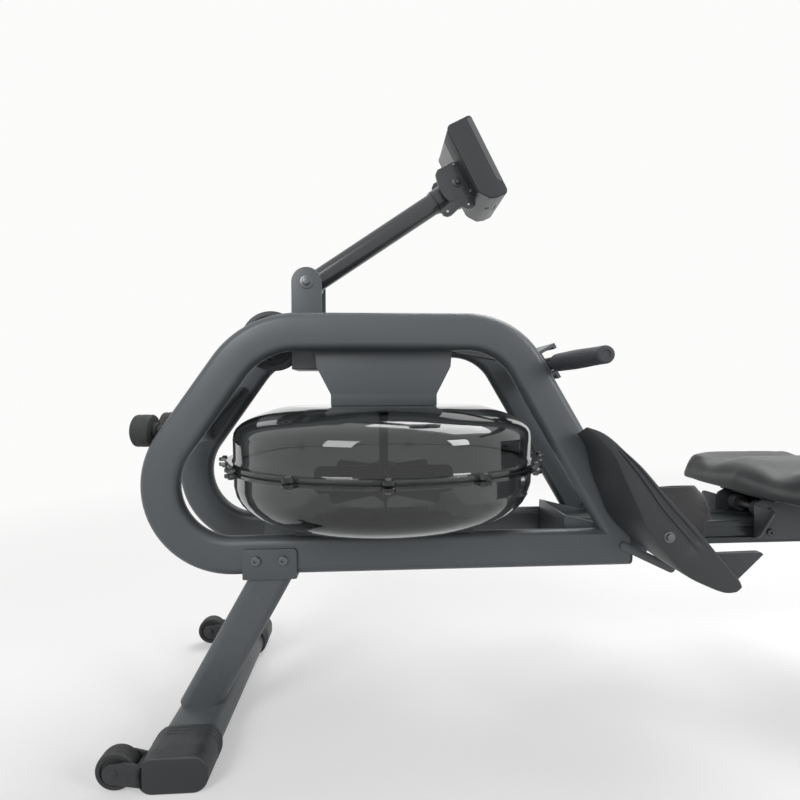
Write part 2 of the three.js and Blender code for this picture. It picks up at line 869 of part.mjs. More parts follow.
// Console arm
const consoleAt = [
  -mastReach + armLength * Math.cos(turn(armLeanDeg)),
  pivotRise + armLength * Math.sin(turn(armLeanDeg)),
];
const clampInner = 24;
function makeArm() {
  const tube = rod("x", armRadius, 0, armLength, [0, 0], 24)
    .rotateY(-turn(armLeanDeg))
    .translate(-mastReach, 0, pivotRise);
  const sleeve = (at, half, radius) => rod("y", radius, -half, half, at, 24);
  return geometryOf(
    solidOf(tube)
      .add(solidOf(sleeve(mastAt, earInner - gap, sleeveRadius)))
      .add(solidOf(sleeve(consoleAt, clampInner - gap, collarRadius)))
      .subtract(solidOf(rod("y", boltRadius + running, -earOuter, earOuter, mastAt)))
      .subtract(solidOf(rod("y", boltRadius + running, -earOuter, earOuter, consoleAt))),
  );
}
add("console_arm", makeArm(), "black");
add("console_pivot_bolt", crossBolt(consoleAt, clampInner + sheet), "black");

// Console: laid out upright with its back at x = 0, then tilted about the console pivot
const consoleLow = -consoleDrop;
const consoleHigh = consoleLow + consoleTall;
const backDeep = consoleThick * 0.62;
const faceStart = backDeep + gap;
const consoleRound = consoleThick / 3;
const tiltConsole = (geometry) => geometry
  .translate(consoleStandoff, 0, 0)
  .rotateY(-turn(consoleTiltDeg))
  .translate(consoleAt[0], 0, consoleAt[1]);

function consoleSlab(x0, x1, inset) {
  const outline = roundedOutline(
    0, (consoleLow + consoleHigh) / 2, consoleWide - inset * 2, consoleTall - inset * 2,
    consoleRound,
  );
  return slabYZ(outline, x0, x1);
}
const lugReach = { back: 32, low: 34, high: 35 };
const lugWide = lugReach.back + consoleStandoff + sheet;
const lugOutline = roundedOutline(
  (lugWide - lugReach.back * 2) / 2, (lugReach.high - lugReach.low) / 2,
  lugWide, lugReach.high + lugReach.low, lugReach.back / 3,
);
const pivotHole = rod("y", boltRadius + gap, -clampInner * 2, clampInner * 2, [-consoleStandoff, 0]);
const lugPlate = (y0, y1) => slabXZ(lugOutline, y0, y1).translate(-consoleStandoff, 0, 0);
add(
  "console_back",
  tiltConsole(geometryOf(
    solidOf(consoleSlab(0, backDeep, 0))
      .add(solidOf(lugPlate(-clampInner - sheet, -clampInner)))
      .add(solidOf(lugPlate(clampInner, clampInner + sheet)))
      .subtract(solidOf(pivotHole)),
  )),
  "cover",
);
const lensTall = consoleTall * 0.52;
const lensMiddle = consoleHigh - lensInset - lensTall / 2;
const lensOutline = (inset) => roundedOutline(
  0, lensMiddle, consoleWide - lensInset * 2 - inset * 2, lensTall - inset * 2, lensInset / 2,
);
const buttonRise = consoleLow + consoleTall * 0.2;
const buttonSides = [-buttonSpacing, 0, buttonSpacing];
const buttonWell = (y) => rod(
  "x", buttonRadius + gap, consoleThick - buttonTravel * 4, consoleThick + overrun, [y, buttonRise],
);
add(
  "console_front",
  tiltConsole(cut(
    consoleSlab(faceStart, consoleThick, 0),
    slabYZ(lensOutline(0), consoleThick - sheet / 2, consoleThick + overrun),
    ...buttonSides.map(buttonWell),
  )),
  "black",
);
add(
  "console_lens",
  tiltConsole(slabYZ(lensOutline(gap), consoleThick - sheet / 2 + gap, consoleThick)),
  "screen",
);
["left", "middle", "right"].forEach((name, i) => {
  const button = rod(
    "x", buttonRadius, consoleThick - buttonTravel * 2, consoleThick + buttonTravel * 1.5,
    [buttonSides[i], buttonRise],
  );
  add(`${name}_console_button`, tiltConsole(button), "rubber");
});

// Front legs: saddles on the bottom tubes, two slanted legs and a foot tube across
const footMiddle = footLift + footTall / 2 - floorDrop;
const saddleTop = floorTubeLow + saddleTall;
const saddleLow = floorTubeLow - gap - sheet;
const flatTube = (tall, wide) => roundedOutline(0, 0, tall, wide, wide / 2 - gap);
function makeFrontLegs() {
  let whole = solidOf(slabYFoot(-footReach, footMiddle, footWide, footTall, footHalf - footCapLong / 4));
  const legEnd = footMiddle + footTall / 4;
  const legTop = saddleLow + tubeTall / 2;
  const cheeks = [];
  const legRun = (z) => -legTopReach - (saddleLow - z) * Math.tan(turn(legLeanDeg));
  for (const { sign } of sides) {
    const path = new THREE.LineCurve3(
      new THREE.Vector3(legRun(legEnd), sign * loopMiddle, legEnd),
      new THREE.Vector3(legRun(legTop), sign * loopMiddle, legTop),
    );
    const [low, high] = [-saddleMiddle - saddleHalf, -saddleMiddle + saddleHalf];
    whole = whole
      .add(solidOf(alongPath(path, tubeTall, tubeWide)))
      .subtract(solidOf(box(
        low - saddleHalf, high + saddleHalf, -loopOuter - overrun, loopOuter + overrun,
        saddleLow + sheet / 2, saddleTop + tubeTall,
      )));
    const outer = span(sign, loopOuter + gap, loopOuter + gap + sheet);
    const inner = span(sign, loopInner - gap - sheet, loopInner - gap);
    const floorPlate = span(sign, loopInner - gap - sheet, loopOuter + gap + sheet);
    cheeks.push(
      box(low, high, ...outer, saddleLow, saddleTop),
      box(low, high, ...inner, saddleLow, saddleTop),
      box(low, high, ...floorPlate, saddleLow, saddleLow + sheet),
    );
    for (const step of [-saddleHalf / 2, saddleHalf / 2]) {
      const head = span(sign, loopOuter + sheet, loopOuter + sheet + boltHeadThick);
      cheeks.push(
        rod("y", boltHeadRadius * 0.85, ...head, [-saddleMiddle + step, bottomLine - sheet], 12),
      );
    }
  }
  return geometryOf(cheeks.map(solidOf).reduce((sum, part) => sum.add(part), whole));
}

// A flat-sided bar across the machine, rounded along its edges.
function slabYFoot(x, z, wide, tall, half) {
  return slabXZ(roundedOutline(x, z, wide, tall, tall / 2 - gap), -half, half);
}

// A flat-sided tube section carried along a straight line.
function alongPath(path, tall, wide) {
  const direction = path.getTangent(0);
  const across = new THREE.Vector3(0, 1, 0);
  const side = across.clone().cross(direction);
  const made = new THREE.ExtrudeGeometry(flatTube(tall, wide), {
    depth: path.getLength(),
    bevelEnabled: false,
    curveSegments: 4,
  });
  const basis = new THREE.Matrix4().makeBasis(side, across, direction);
  return made.applyMatrix4(basis).translate(...path.getPoint(0).toArray());
}
add("front_leg_frame", makeFrontLegs(), "frame");

// Slip-on end caps of the front foot, each with a transport wheel
const capWall = 4;
const rollingSides = 26;
const wheelReach = footReach + footWide / 2 + wheelRadius + capWall * 2;
const wheelAt = [-wheelReach, wheelLift + wheelRadius - floorDrop];
for (const { name, sign } of sides) {
  const tubeEnd = footHalf - footCapLong / 4;
  const body = roundedOutline(
    -footReach, footMiddle - (footLift - capWall) / 2, footWide + capWall * 2,
    footTall + footLift + capWall, footTall / 2,
  );
  const bore = roundedOutline(-footReach, footMiddle, footWide + gap * 2, footTall + gap * 2,
    footTall / 2);
  const forkReach = footHalf - capWall * 2 - wheelWide - gap * 2;
  const forkOuter = span(sign, footHalf - capWall, footHalf);
  const forkInner = span(sign, forkReach, forkReach + capWall);
  const fork = (y) => slabXZ(
    outlineOf([
      [-footReach - footWide / 2 - capWall / 2, footMiddle - footTall / 3],
      [-footReach - footWide / 2 - capWall / 2, footMiddle + footTall / 3],
      [-wheelReach - boltHeadRadius, wheelAt[1] + boltHeadRadius],
      [-wheelReach - boltHeadRadius, wheelAt[1] - boltHeadRadius],
    ]),
    ...y,
  );
  add(
    `${name}_front_cap`,
    geometryOf(
      solidOf(slabXZ(body, ...span(sign, footHalf - footCapLong, footHalf)))
        .subtract(solidOf(slabXZ(bore, ...span(sign, footHalf - footCapLong - overrun, tubeEnd + gap))))
        .add(solidOf(fork(forkOuter)))
        .add(solidOf(fork(forkInner)))
        .add(solidOf(rod("y", boltRadius, ...span(sign, forkReach, footHalf), wheelAt))),
    ),
    "rubber",
  );
  const wheelSpan = span(sign, footHalf - capWall - wheelWide - gap, footHalf - capWall - gap);
  add(
    `${name}_transport_wheel`,
    cut(
      rod("y", wheelRadius, ...wheelSpan, wheelAt, rollingSides),
      rod("y", boltRadius + running, ...span(sign, footHalf - footCapLong, footHalf + overrun), wheelAt),
    ),
    "rubber",
  );
}

// Rail, its mount between the loops and its end cap
const railLow = railTop - railTall;
const railEnd = rearLegReach + railOverhang;
const railGroove = { deep: guideRadius, half: guideRadius * 1.6 };
const railMiddle = (railTop + railLow) / 2;
function railOutline() {
  const [side, deep] = [railHalfWide, railHalfWide - railGroove.deep];
  const half = [
    [side, railLow],
    [side, railMiddle - railGroove.half],
    [deep, railMiddle - railGroove.half],
    [deep, railMiddle + railGroove.half],
    [side, railMiddle + railGroove.half],
    [side, railTop],
  ];
  const other = half.map(([y, z]) => [-y, z]).reverse();
  const shape = outlineOf([...half, ...other]);
  const wide = deep - railWall;
  shape.holes.push(new THREE.Path([
    new THREE.Vector2(-wide, railLow + railWall),
    new THREE.Vector2(-wide, railTop - railWall),
    new THREE.Vector2(wide, railTop - railWall),
    new THREE.Vector2(wide, railLow + railWall),
  ]));
  return shape;
}
add("seat_rail", slabYZ(railOutline(), railFrontReach, railEnd), "rail");
const railCapThick = 7;
add(
  "rail_end_cap",
  slabYZ(
    roundedOutline(0, railMiddle, railHalfWide * 2 + capThick, railTall + capThick, capThick),
    railEnd + gap, railEnd + gap + railCapThick,
  ),
  "black",
);
const mountFront = railFrontReach - gap - sheet;
const mountSide = (y0, y1) => slabXZ(
  outlineOf([
    [mountFront, railLow - gap - sheet],
    [pedalBarReach + pedalBarRadius * 2, railLow - gap - sheet],
    [pedalBarReach + pedalBarRadius * 2, pedalBarRise + pedalBarRadius * 1.5],
    [pedalBarReach - pedalBarRadius * 2, pedalBarRise + pedalBarRadius * 1.5],
    [loopEndReach - sheet * 4, railTop],
    [mountFront, railTop + railTall / 2],
  ]),
  y0, y1,
);
add(
  "rail_mount",
  geometryOf(
    solidOf(mountSide(-spanInner, -spanInner + sheet))
      .add(solidOf(mountSide(spanInner - sheet, spanInner)))
      .add(solidOf(box(mountFront, pedalBarReach + pedalBarRadius * 2, -spanInner, spanInner,
        railLow - gap - sheet, railLow - gap)))
      .add(solidOf(box(mountFront, mountFront + sheet, -spanInner, spanInner,
        railLow - gap - sheet, railTop + railTall / 2)))
      .subtract(solidOf(rod("y", pedalBarRadius + gap, -loopOuter, loopOuter,
        [pedalBarReach, pedalBarRise]))),
  ),
  "frame",
);

// Rear leg with its foot across the machine
const rearFootMiddle = footLift + rearFootTall / 2 - floorDrop;
const rearPlateHalf = 45;
add(
  "rear_leg_frame",
  join(
    box(rearLegReach - rearPlateHalf, rearLegReach + rearPlateHalf, -railHalfWide, railHalfWide,
      railLow - gap - sheet, railLow - gap),
    alongPath(
      new THREE.LineCurve3(
        new THREE.Vector3(rearLegReach, 0, rearFootMiddle),
        new THREE.Vector3(rearLegReach, 0, railLow - gap - sheet / 2),
      ),
      tubeTall, tubeWide * 1.6,
    ),
    slabYFoot(rearLegReach, rearFootMiddle, rearFootWide, rearFootTall, rearFootHalf),
  ),
  "frame",
);
for (const { name, sign } of sides) {
  const body = roundedOutline(
    rearLegReach, rearFootMiddle - footLift / 2 + capWall / 2,
    rearFootWide + capWall * 2, rearFootTall + footLift + capWall, rearFootTall / 2,
  );
  const bore = roundedOutline(rearLegReach, rearFootMiddle, rearFootWide + gap * 2,
    rearFootTall + gap * 2, rearFootTall / 2);
  add(
    `${name}_rear_foot`,
    cut(
      slabXZ(body, ...span(sign, rearFootHalf - footCapLong + capWall, rearFootHalf + capWall)),
      slabXZ(bore, ...span(sign, rearFootHalf - footCapLong - overrun, rearFootHalf + gap)),
    ),
    "rubber",
  );
}

// Seat carriage: top plate, two side plates, roller axles and guide pins in the rail's grooves
const seatReach = pedalBarReach + pedalBarRadius + seatClear + carriageHalf;
const rollerAxleZ = railTop + gap + rollerRadius;
const cushionLow = seatTopRise - cushionTall;
const carriageSide = { inner: railHalfWide + sheet, outer: railHalfWide + sheet * 2 };
function makeCarriage() {
  const [x0, x1] = [seatReach - carriageHalf, seatReach + carriageHalf];
  let whole = solidOf(box(
    seatReach - seatHalfLong * 0.7, seatReach + seatHalfLong * 0.7,
    -seatHalfWide * 0.4, seatHalfWide * 0.4, cushionLow - gap - sheet * 2, cushionLow - gap,
  ));
  for (const sign of [-1, 1]) {
    const side = span(sign, carriageSide.inner, carriageSide.outer);
    const top = cushionLow - gap - sheet;
    whole = whole.add(solidOf(slabXZ(
      outlineOf([
        [x0, railMiddle - guideRadius * 2],
        [x1, railMiddle - guideRadius * 2],
        [x1, rollerAxleZ + rollerRadius],
        [x1 - sheet * 4, top],
        [x0 + sheet * 4, top],
        [x0, rollerAxleZ + rollerRadius],
      ]),
      ...side,
    )));
    for (const step of [-rollerReach, rollerReach]) {
      const pin = span(sign, railHalfWide - railGroove.deep + gap * 2, carriageSide.outer - gap);
      whole = whole.add(solidOf(
        rod("y", guideRadius, ...pin, [seatReach + step, railMiddle]),
      ));
    }
  }
  for (const step of [-rollerReach, rollerReach]) {
    whole = whole.add(solidOf(
      rod("y", boltRadius, -carriageSide.outer + gap, carriageSide.outer - gap,
        [seatReach + step, rollerAxleZ]),
    ));
  }
  return geometryOf(whole);
}
add("seat_carriage", makeCarriage(), "black");
for (const [end, step] of [["front", -rollerReach], ["rear", rollerReach]]) {
  for (const { name, sign } of sides) {
    const at = [seatReach + step, rollerAxleZ];
    add(
      `${end}_${name}_roller`,
      cut(
        rod("y", rollerRadius, ...span(sign, rollerSide - rollerWide / 2,
          rollerSide + rollerWide / 2), at, rollingSides),
        rod("y", boltRadius + running, -railHalfWide, railHalfWide, at),
      ),
      "rubber",
    );
  }
}

// Seat cushion: crowned, hollowed for sitting, with drawn-in sides and a scalloped front edge
function makeCushion() {
  const [columns, rows] = [16, 18];
  const points = [];
  const at = (u, v, level) => {
    const around = 1 - 0.1 * (1 - v * v) * (u < 0 ? 1 : 0.25);
    const corner = 1 - 0.16 * u * u * v * v;
    const draw = level === 0 ? 1 : 0.965;
    const x = seatHalfLong * u * around * corner * draw;
    const y = seatHalfWide * v * (1 - 0.06 * u * u) * draw;
    const edge = Math.max(Math.abs(u), Math.abs(v));
    const fall = 0.14 * edge ** 6;
    const dish = 0.2 * Math.exp(-(((Math.abs(v) - 0.62) / 0.25) ** 2)) * (1 - 0.6 * u * u);
    const lowEdge = 0.08 * edge ** 8;
    const z = level === 1
      ? cushionLow + cushionTall * (1 - fall - dish)
      : cushionLow + cushionTall * lowEdge;
    return new THREE.Vector3(seatReach + x, y, z);
  };
  for (const level of [0, 1]) {
    for (let i = 0; i <= columns; i += 1) {
      for (let k = 0; k <= rows; k += 1) {
        points.push(at((2 * i) / columns - 1, (2 * k) / rows - 1, level));
      }
    }
  }
  const layer = (columns + 1) * (rows + 1);
  const index = (i, k, level) => level * layer + i * (rows + 1) + k;
  const faces = [];
  const quad = (a, b, c, d) => faces.push(a, b, c, a, c, d);
  for (let i = 0; i < columns; i += 1) {
    for (let k = 0; k < rows; k += 1) {
      quad(index(i, k, 1), index(i + 1, k, 1), index(i + 1, k + 1, 1), index(i, k + 1, 1));
      quad(index(i, k, 0), index(i, k + 1, 0), index(i + 1, k + 1, 0), index(i + 1, k, 0));
    }
    quad(index(i, 0, 0), index(i + 1, 0, 0), index(i + 1, 0, 1), index(i, 0, 1));
    quad(index(i, rows, 0), index(i, rows, 1), index(i + 1, rows, 1), index(i + 1, rows, 0));
  }
  for (let k = 0; k < rows; k += 1) {
    quad(index(0, k, 0), index(0, k, 1), index(0, k + 1, 1), index(0, k + 1, 0));
    quad(index(columns, k, 0), index(columns, k + 1, 0), index(columns, k + 1, 1), index(columns, k, 1));
  }
  const geometry = new THREE.BufferGeometry().setFromPoints(points);
  geometry.setIndex(faces);
  const flat = geometry.toNonIndexed();
  flat.computeVertexNormals();
  return flat;
}
add("seat_cushion", makeCushion(), "padding");

// Pedals: a local frame runs from the toe along the sole, with its height square to the sole
const slope = turn(pedalSlopeDeg);
const onPedal = (along, up) => [
  pedalToe.x + along * Math.cos(slope) + up * Math.sin(slope),
  pedalToe.z - along * Math.sin(slope) + up * Math.cos(slope),
];
const soleShares = [
  [0.003, -0.27], [0.06, -0.08], [0.12, 0], [1, 0], [1.03, -0.23], [1, -0.5], [0.86, -0.87],
  [0.77, -0.97], [0.66, -1], [0.59, -0.97], [0.51, -0.85], [0.43, -0.72], [0.31, -0.47],
  [0.2, -0.25], [0.12, -0.2], [0.03, -0.28],
];
function makePedal(sign) {
  const soleY = span(sign, pedalInner, pedalInner + pedalWide);
  const trayY = span(sign, pedalInner + rimWide, pedalInner + pedalWide - rimWide);
  const sole = slabXZ(
    outlineOf(soleShares.map(([a, u]) => onPedal(a * pedalLong, u * pedalDeep))), ...soleY,
  );
  const trayStart = rimWide * 8;
  const trayEnd = pedalLong + trayDeep * 4;
  const tray = slabXZ(
    outlineOf([
      onPedal(trayStart, trayDeep),
      onPedal(trayEnd, trayDeep),
      onPedal(trayEnd, -trayDeep),
      onPedal(trayStart, -trayDeep),
    ]),
    ...trayY,
  );
  const bore = rod("y", pedalBarRadius + gap, ...span(sign, pedalInner - overrun,
    pedalInner + pedalWide - rimWide), [pedalBarReach, pedalBarRise]);
  return cut(sole, tray, bore);
}
function makeHeelRest(sign) {
  const inner = pedalInner + rimWide + gap;
  const outer = pedalInner + pedalWide - rimWide - gap;
  const low = gap - trayDeep;
  const body = slabXZ(
    outlineOf([
      onPedal(heelStart, low),
      onPedal(heelStart + heelLong, low),
      onPedal(heelStart + heelLong, heelTall),
      onPedal(heelStart + heelLong - heelWall * 2, heelTall),
      onPedal(heelStart + heelWall, low + heelWall * 2),
      onPedal(heelStart, low + heelWall),
    ]),
    ...span(sign, inner, outer),
  );
  const hollow = slabXZ(
    outlineOf([
      onPedal(heelStart - overrun, low + heelWall),
      onPedal(heelStart + heelLong - heelWall, low + heelWall),
      onPedal(heelStart + heelLong - heelWall, heelTall + overrun),
      onPedal(heelStart - overrun, heelTall + overrun),
    ]),
    ...span(sign, inner + heelWall, outer - heelWall),
  );
  return cut(body, hollow);
}
const bandSteps = 12;
function makeFootBand(sign) {
  const middle = sign * (pedalInner + pedalWide / 2);
  const half = pedalWide / 2 - rimWide / 2;
  const arch = (grow) => {
    const points = [];
    for (let i = 0; i <= bandSteps; i += 1) {
      const angle = (Math.PI * i) / bandSteps;
      const flat = Math.sign(Math.cos(angle)) * Math.abs(Math.cos(angle)) ** 0.4;
      points.push([(half + grow) * flat, (bandRise + grow) * Math.sin(angle) ** 0.6]);
    }
    return points;
  };
  const shape = outlineOf([...arch(0), ...arch(-bandThick).reverse()]);
  const made = new THREE.ExtrudeGeometry(shape, { depth: bandLong, bevelEnabled: false });
  const along = new THREE.Vector3(Math.cos(slope), 0, -Math.sin(slope));
  const up = new THREE.Vector3(Math.sin(slope), 0, Math.cos(slope));
  const across = up.clone().cross(along);
  const [x, z] = onPedal(bandStart, gap);
  made.applyMatrix4(new THREE.Matrix4().makeBasis(across, up, along)).translate(x, middle, z);
  const crownStart = bandStart + bandCrown;
  const side = slabXZ(
    outlineOf([
      onPedal(bandStart - overrun, -overrun),
      onPedal(bandStart, gap * 2),
      onPedal(crownStart, bandRise + overrun),
      onPedal(crownStart + bandCrown, bandRise + overrun),
      onPedal(bandStart + bandLong, gap * 2),
      onPedal(bandStart + bandLong + overrun, -overrun),
    ]),
    ...span(sign, pedalInner - overrun, pedalInner + pedalWide + overrun),
  );
  return geometryOf(solidOf(made).intersect(solidOf(side)));
}

// Slotted struts outside the loops' rear ends, under the pedals
function makeStrut(sign) {
  const angle = Math.atan2(strutLow.z - strutHigh.z, strutLow.x - strutHigh.x);
  const long = Math.hypot(strutLow.x - strutHigh.x, strutLow.z - strutHigh.z);
  const outline = roundedOutline(long / 2, 0, long + strutHalf * 2, strutHalf * 2, strutHalf - gap);
  outline.holes.push(new THREE.Path(
    roundedOutline(long * 0.66, 0, long * 0.44, strutHalf, strutHalf / 2 - gap).getPoints(),
  ));
  const y = span(sign, loopOuter + gap, loopOuter + gap + sheet - gap * 2);
  return slabXZ(outline, 0, y[1] - y[0])
    .rotateY(-angle)
    .translate(strutHigh.x, y[0], strutHigh.z);
}

for (const { name, sign } of sides) {
  add(`${name}_pedal`, makePedal(sign), "black");
  add(`${name}_heel_rest`, makeHeelRest(sign), "black");
  add(`${name}_foot_band`, makeFootBand(sign), "webbing");
}
add(
  "pedal_bar",
  rod("y", pedalBarRadius, -pedalInner - pedalWide + rimWide * 2, pedalInner + pedalWide - rimWide * 2,
    [pedalBarReach, pedalBarRise]),
  "steel",
);

for (const { name, sign } of sides) {
  add(`${name}_pedal_strut`, makeStrut(sign), "frame");
}

// The origin: on the floor, in the middle of the machine's length
const frontMost = -standFootFace;
const rearMost = railEnd + gap + railCapThick;
layout.position.set(-(frontMost + rearMost) / 2, 0, floorDrop);

export default model;
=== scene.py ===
import bpy, bmesh, json, math
from mathutils import Matrix, Vector

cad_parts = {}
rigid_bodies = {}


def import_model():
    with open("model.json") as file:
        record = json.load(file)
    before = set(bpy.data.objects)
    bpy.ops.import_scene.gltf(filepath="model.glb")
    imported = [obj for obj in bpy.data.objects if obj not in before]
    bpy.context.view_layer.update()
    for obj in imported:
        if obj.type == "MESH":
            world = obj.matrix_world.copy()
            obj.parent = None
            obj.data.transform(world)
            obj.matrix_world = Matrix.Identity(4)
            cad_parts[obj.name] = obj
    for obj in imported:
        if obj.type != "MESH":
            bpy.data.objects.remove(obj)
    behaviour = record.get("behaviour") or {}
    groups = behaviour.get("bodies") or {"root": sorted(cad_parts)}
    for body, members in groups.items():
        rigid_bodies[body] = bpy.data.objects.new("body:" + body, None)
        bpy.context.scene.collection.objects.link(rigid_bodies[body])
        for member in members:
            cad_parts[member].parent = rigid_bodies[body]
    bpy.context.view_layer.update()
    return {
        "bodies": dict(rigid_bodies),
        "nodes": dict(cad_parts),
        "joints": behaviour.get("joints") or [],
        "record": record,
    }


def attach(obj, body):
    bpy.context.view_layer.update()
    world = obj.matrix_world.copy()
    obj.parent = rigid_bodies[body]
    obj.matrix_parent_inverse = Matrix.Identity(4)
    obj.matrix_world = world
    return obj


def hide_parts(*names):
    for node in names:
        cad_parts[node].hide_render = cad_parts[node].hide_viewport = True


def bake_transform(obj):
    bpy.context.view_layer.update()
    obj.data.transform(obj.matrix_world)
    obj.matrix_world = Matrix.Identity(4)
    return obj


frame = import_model()
nodes = frame["nodes"]
mm = 0.001
tankAhead, seamHeight = 628.4, 415.0  # the tank's axis from the machine's middle, its seam from the floor


def spot(x, y, z):  # from millimetres off the tank's axis and seam to metres in the machine's frame
    return Vector((x - tankAhead, y, z + seamHeight)) * mm


# ---- small helpers ----


def newNode(tree, kind):
    return tree.nodes.new("ShaderNode" + kind)


def wire(tree, *pairs):
    for source, target in pairs:
        tree.links.new(source, target)


def setInputs(node, values):
    for label, value in values.items():
        node.inputs[label].default_value = value


def addMath(tree, operation, first, second=None, clamp=False):
    node = newNode(tree, "Math")
    node.operation = operation
    node.use_clamp = clamp
    for i, value in enumerate((first, second)):
        if isinstance(value, (int, float)):
            node.inputs[i].default_value = value
        elif value is not None:
            tree.links.new(value, node.inputs[i])
    return node.outputs[0]


def addSpread(tree, value, low, high, outLow=0.0, outHigh=1.0):
    node = newNode(tree, "MapRange")
    tree.links.new(value, node.inputs["Value"])
    setInputs(node, {"From Min": low, "From Max": high, "To Min": outLow, "To Max": outHigh})
    return node.outputs["Result"]


def seenRay(tree):  # 1 for a ray from the camera, also by way of a gloss or a clear piece
    path = newNode(tree, "LightPath")
    shown = path.outputs["Is Camera Ray"]
    for label in ("Is Glossy Ray", "Is Transmission Ray"):
        shown = addMath(tree, "MAXIMUM", shown, path.outputs[label])
    return shown


def deselectAll():
    if bpy.context.mode != "OBJECT":
        bpy.ops.object.mode_set(mode="OBJECT")
    bpy.ops.object.select_all(action="DESELECT")


# ---- camera, floor and light ----
cameraSet = {"place": (-0.6449, -0.8328, 0.52595), "lens": 475.2 / 800 * 36, "sensor": 36,
             "right": (0.9984854, -0.05474159, -0.00550149),
             "up": (0.00624438, 0.01340899, 0.9998906),
             "forward": (0.05466183, 0.99841052, -0.01373051)}
cameraData = bpy.data.cameras.new("photoCamera")
cameraData.lens = cameraSet["lens"]  # 475.2 of the frame's 800 pixels
cameraData.sensor_width = cameraSet["sensor"]
cameraData.clip_start, cameraData.clip_end = 0.02, 60
camera = bpy.data.objects.new("photoCamera", cameraData)
bpy.context.scene.collection.objects.link(camera)
right, up, forward = (Vector(cameraSet[k]).normalized() for k in ("right", "up", "forward"))
camera.matrix_world = Matrix((
    (right.x, up.x, -forward.x, cameraSet["place"][0]),
    (right.y, up.y, -forward.y, cameraSet["place"][1]),
    (right.z, up.z, -forward.z, cameraSet["place"][2]),
    (0, 0, 0, 1)))
bpy.context.scene.camera = camera
bpy.context.scene.view_settings.view_transform = "Standard"

studio = {"worldLight": 0.40, "backdrop": (0.97, 0.97, 0.965), "floorNear": 0.90, "floorOther": 0.42,
          "nearGlow": 0.35, "clearFrom": 0.9, "clearTo": 3.0, "floorHalf": 60,
          "lamps": [  # name, place, aim, width, height, watts
              ("keyBox", (-2.1, -2.3, 1.9), (-0.6, 0.0, 0.45), 1.1, 1.5, 36),
              ("topBox", (0.5, 0.9, 2.7), (-0.2, 0.0, 0.4), 2.6, 1.4, 58),
              ("rightBox", (2.2, -2.0, 1.8), (0.2, 0.0, 0.4), 0.9, 1.4, 40)]}


def buildWorld():
    world = bpy.data.worlds.new("studio")
    bpy.context.scene.world = world
    world.use_nodes = True
    tree = world.node_tree
    tree.nodes.clear()
    out, mix, seen, soft = (newNode(tree, kind) for kind in (
        "OutputWorld", "MixShader", "Background", "Background"))
    setInputs(seen, {"Color": (*studio["backdrop"], 1), "Strength": 1.0})
    setInputs(soft, {"Color": (1, 1, 1, 1), "Strength": studio["worldLight"]})
    wire(tree, (seenRay(tree), mix.inputs["Fac"]), (soft.outputs[0], mix.inputs[1]), (seen.outputs[0], mix.inputs[2]),
         (mix.outputs[0], out.inputs["Surface"]))


def buildLamps():
    for name, place, aim, width, height, watts in studio["lamps"]:
        lampData = bpy.data.lights.new(name, "AREA")
        lampData.shape = "RECTANGLE"
        lampData.size, lampData.size_y = width, height
        lampData.energy = watts
        lamp = bpy.data.objects.new(name, lampData)
        lamp.location = place
        lamp.rotation_euler = (Vector(aim) - Vector(place)).to_track_quat("-Z", "Y").to_euler()
        bpy.context.scene.collection.objects.link(lamp)


def buildFloor():  # takes the machine's shadow, and clears to the backdrop's tone further out
    deselectAll()
    bpy.ops.mesh.primitive_plane_add(size=studio["floorHalf"] * 2, location=(0, 0, 0))
    floor = bpy.context.object
    floor.name = "floor"
    mat = bpy.data.materials.new("paleFloor")
    mat.use_nodes = True
    tree = mat.node_tree
    tree.nodes.clear()
    out, mix, glow, near, other, both = (newNode(tree, kind) for kind in (
        "OutputMaterial", "MixShader", "Emission", "BsdfDiffuse", "BsdfDiffuse", "MixShader"))
    glow.inputs["Color"].default_value = (*studio["backdrop"], 1)
    for shader, grey in ((near, studio["floorNear"]), (other, studio["floorOther"])):
        shader.inputs["Color"].default_value = (grey, grey, grey, 1)
    distance = newNode(tree, "VectorMath")
    distance.operation = "LENGTH"
    spread = newNode(tree, "MapRange")
    spread.interpolation_type = "SMOOTHSTEP"
    setInputs(spread, {"From Min": studio["clearFrom"], "From Max": studio["clearTo"], "To Min": studio["nearGlow"]})
    wire(tree, (newNode(tree, "TexCoord").outputs["Object"], distance.inputs[0]),
         (distance.outputs["Value"], spread.inputs["Value"]), (spread.outputs["Result"], both.inputs["Fac"]),
         (near.outputs[0], both.inputs[1]), (glow.outputs[0], both.inputs[2]), (seenRay(tree), mix.inputs["Fac"]),
         (other.outputs[0], mix.inputs[1]), (both.outputs[0], mix.inputs[2]), (mix.outputs[0], out.inputs["Surface"]))
    floor.data.materials.append(mat)


buildWorld()
buildLamps()
buildFloor()
print("studio ready")

# ---- shader groups ----


def newGroup(name, takes, gives):
    group = bpy.data.node_groups.new(name, "ShaderNodeTree")
    group.interface.new_socket(name="Vector", in_out="INPUT", socket_type="NodeSocketVector")
    for label, value in takes.items():
        socket = group.interface.new_socket(name=label, in_out="INPUT", socket_type="NodeSocketFloat")
        socket.default_value = value
    for label in gives:
        group.interface.new_socket(name=label, in_out="OUTPUT", socket_type="NodeSocketFloat")
    return group, group.nodes.new("NodeGroupInput").outputs, group.nodes.new("NodeGroupOutput").inputs


def addNoise(tree, vector, scale, detail=4, rough=0.55):
    noise = newNode(tree, "TexNoise")
    setInputs(noise, {"Detail": detail, "Roughness": rough})
    if isinstance(scale, (int, float)):
        noise.inputs["Scale"].default_value = scale
    else:
        tree.links.new(scale, noise.inputs["Scale"])
    tree.links.new(vector, noise.inputs["Vector"])
    return noise.outputs["Fac"]


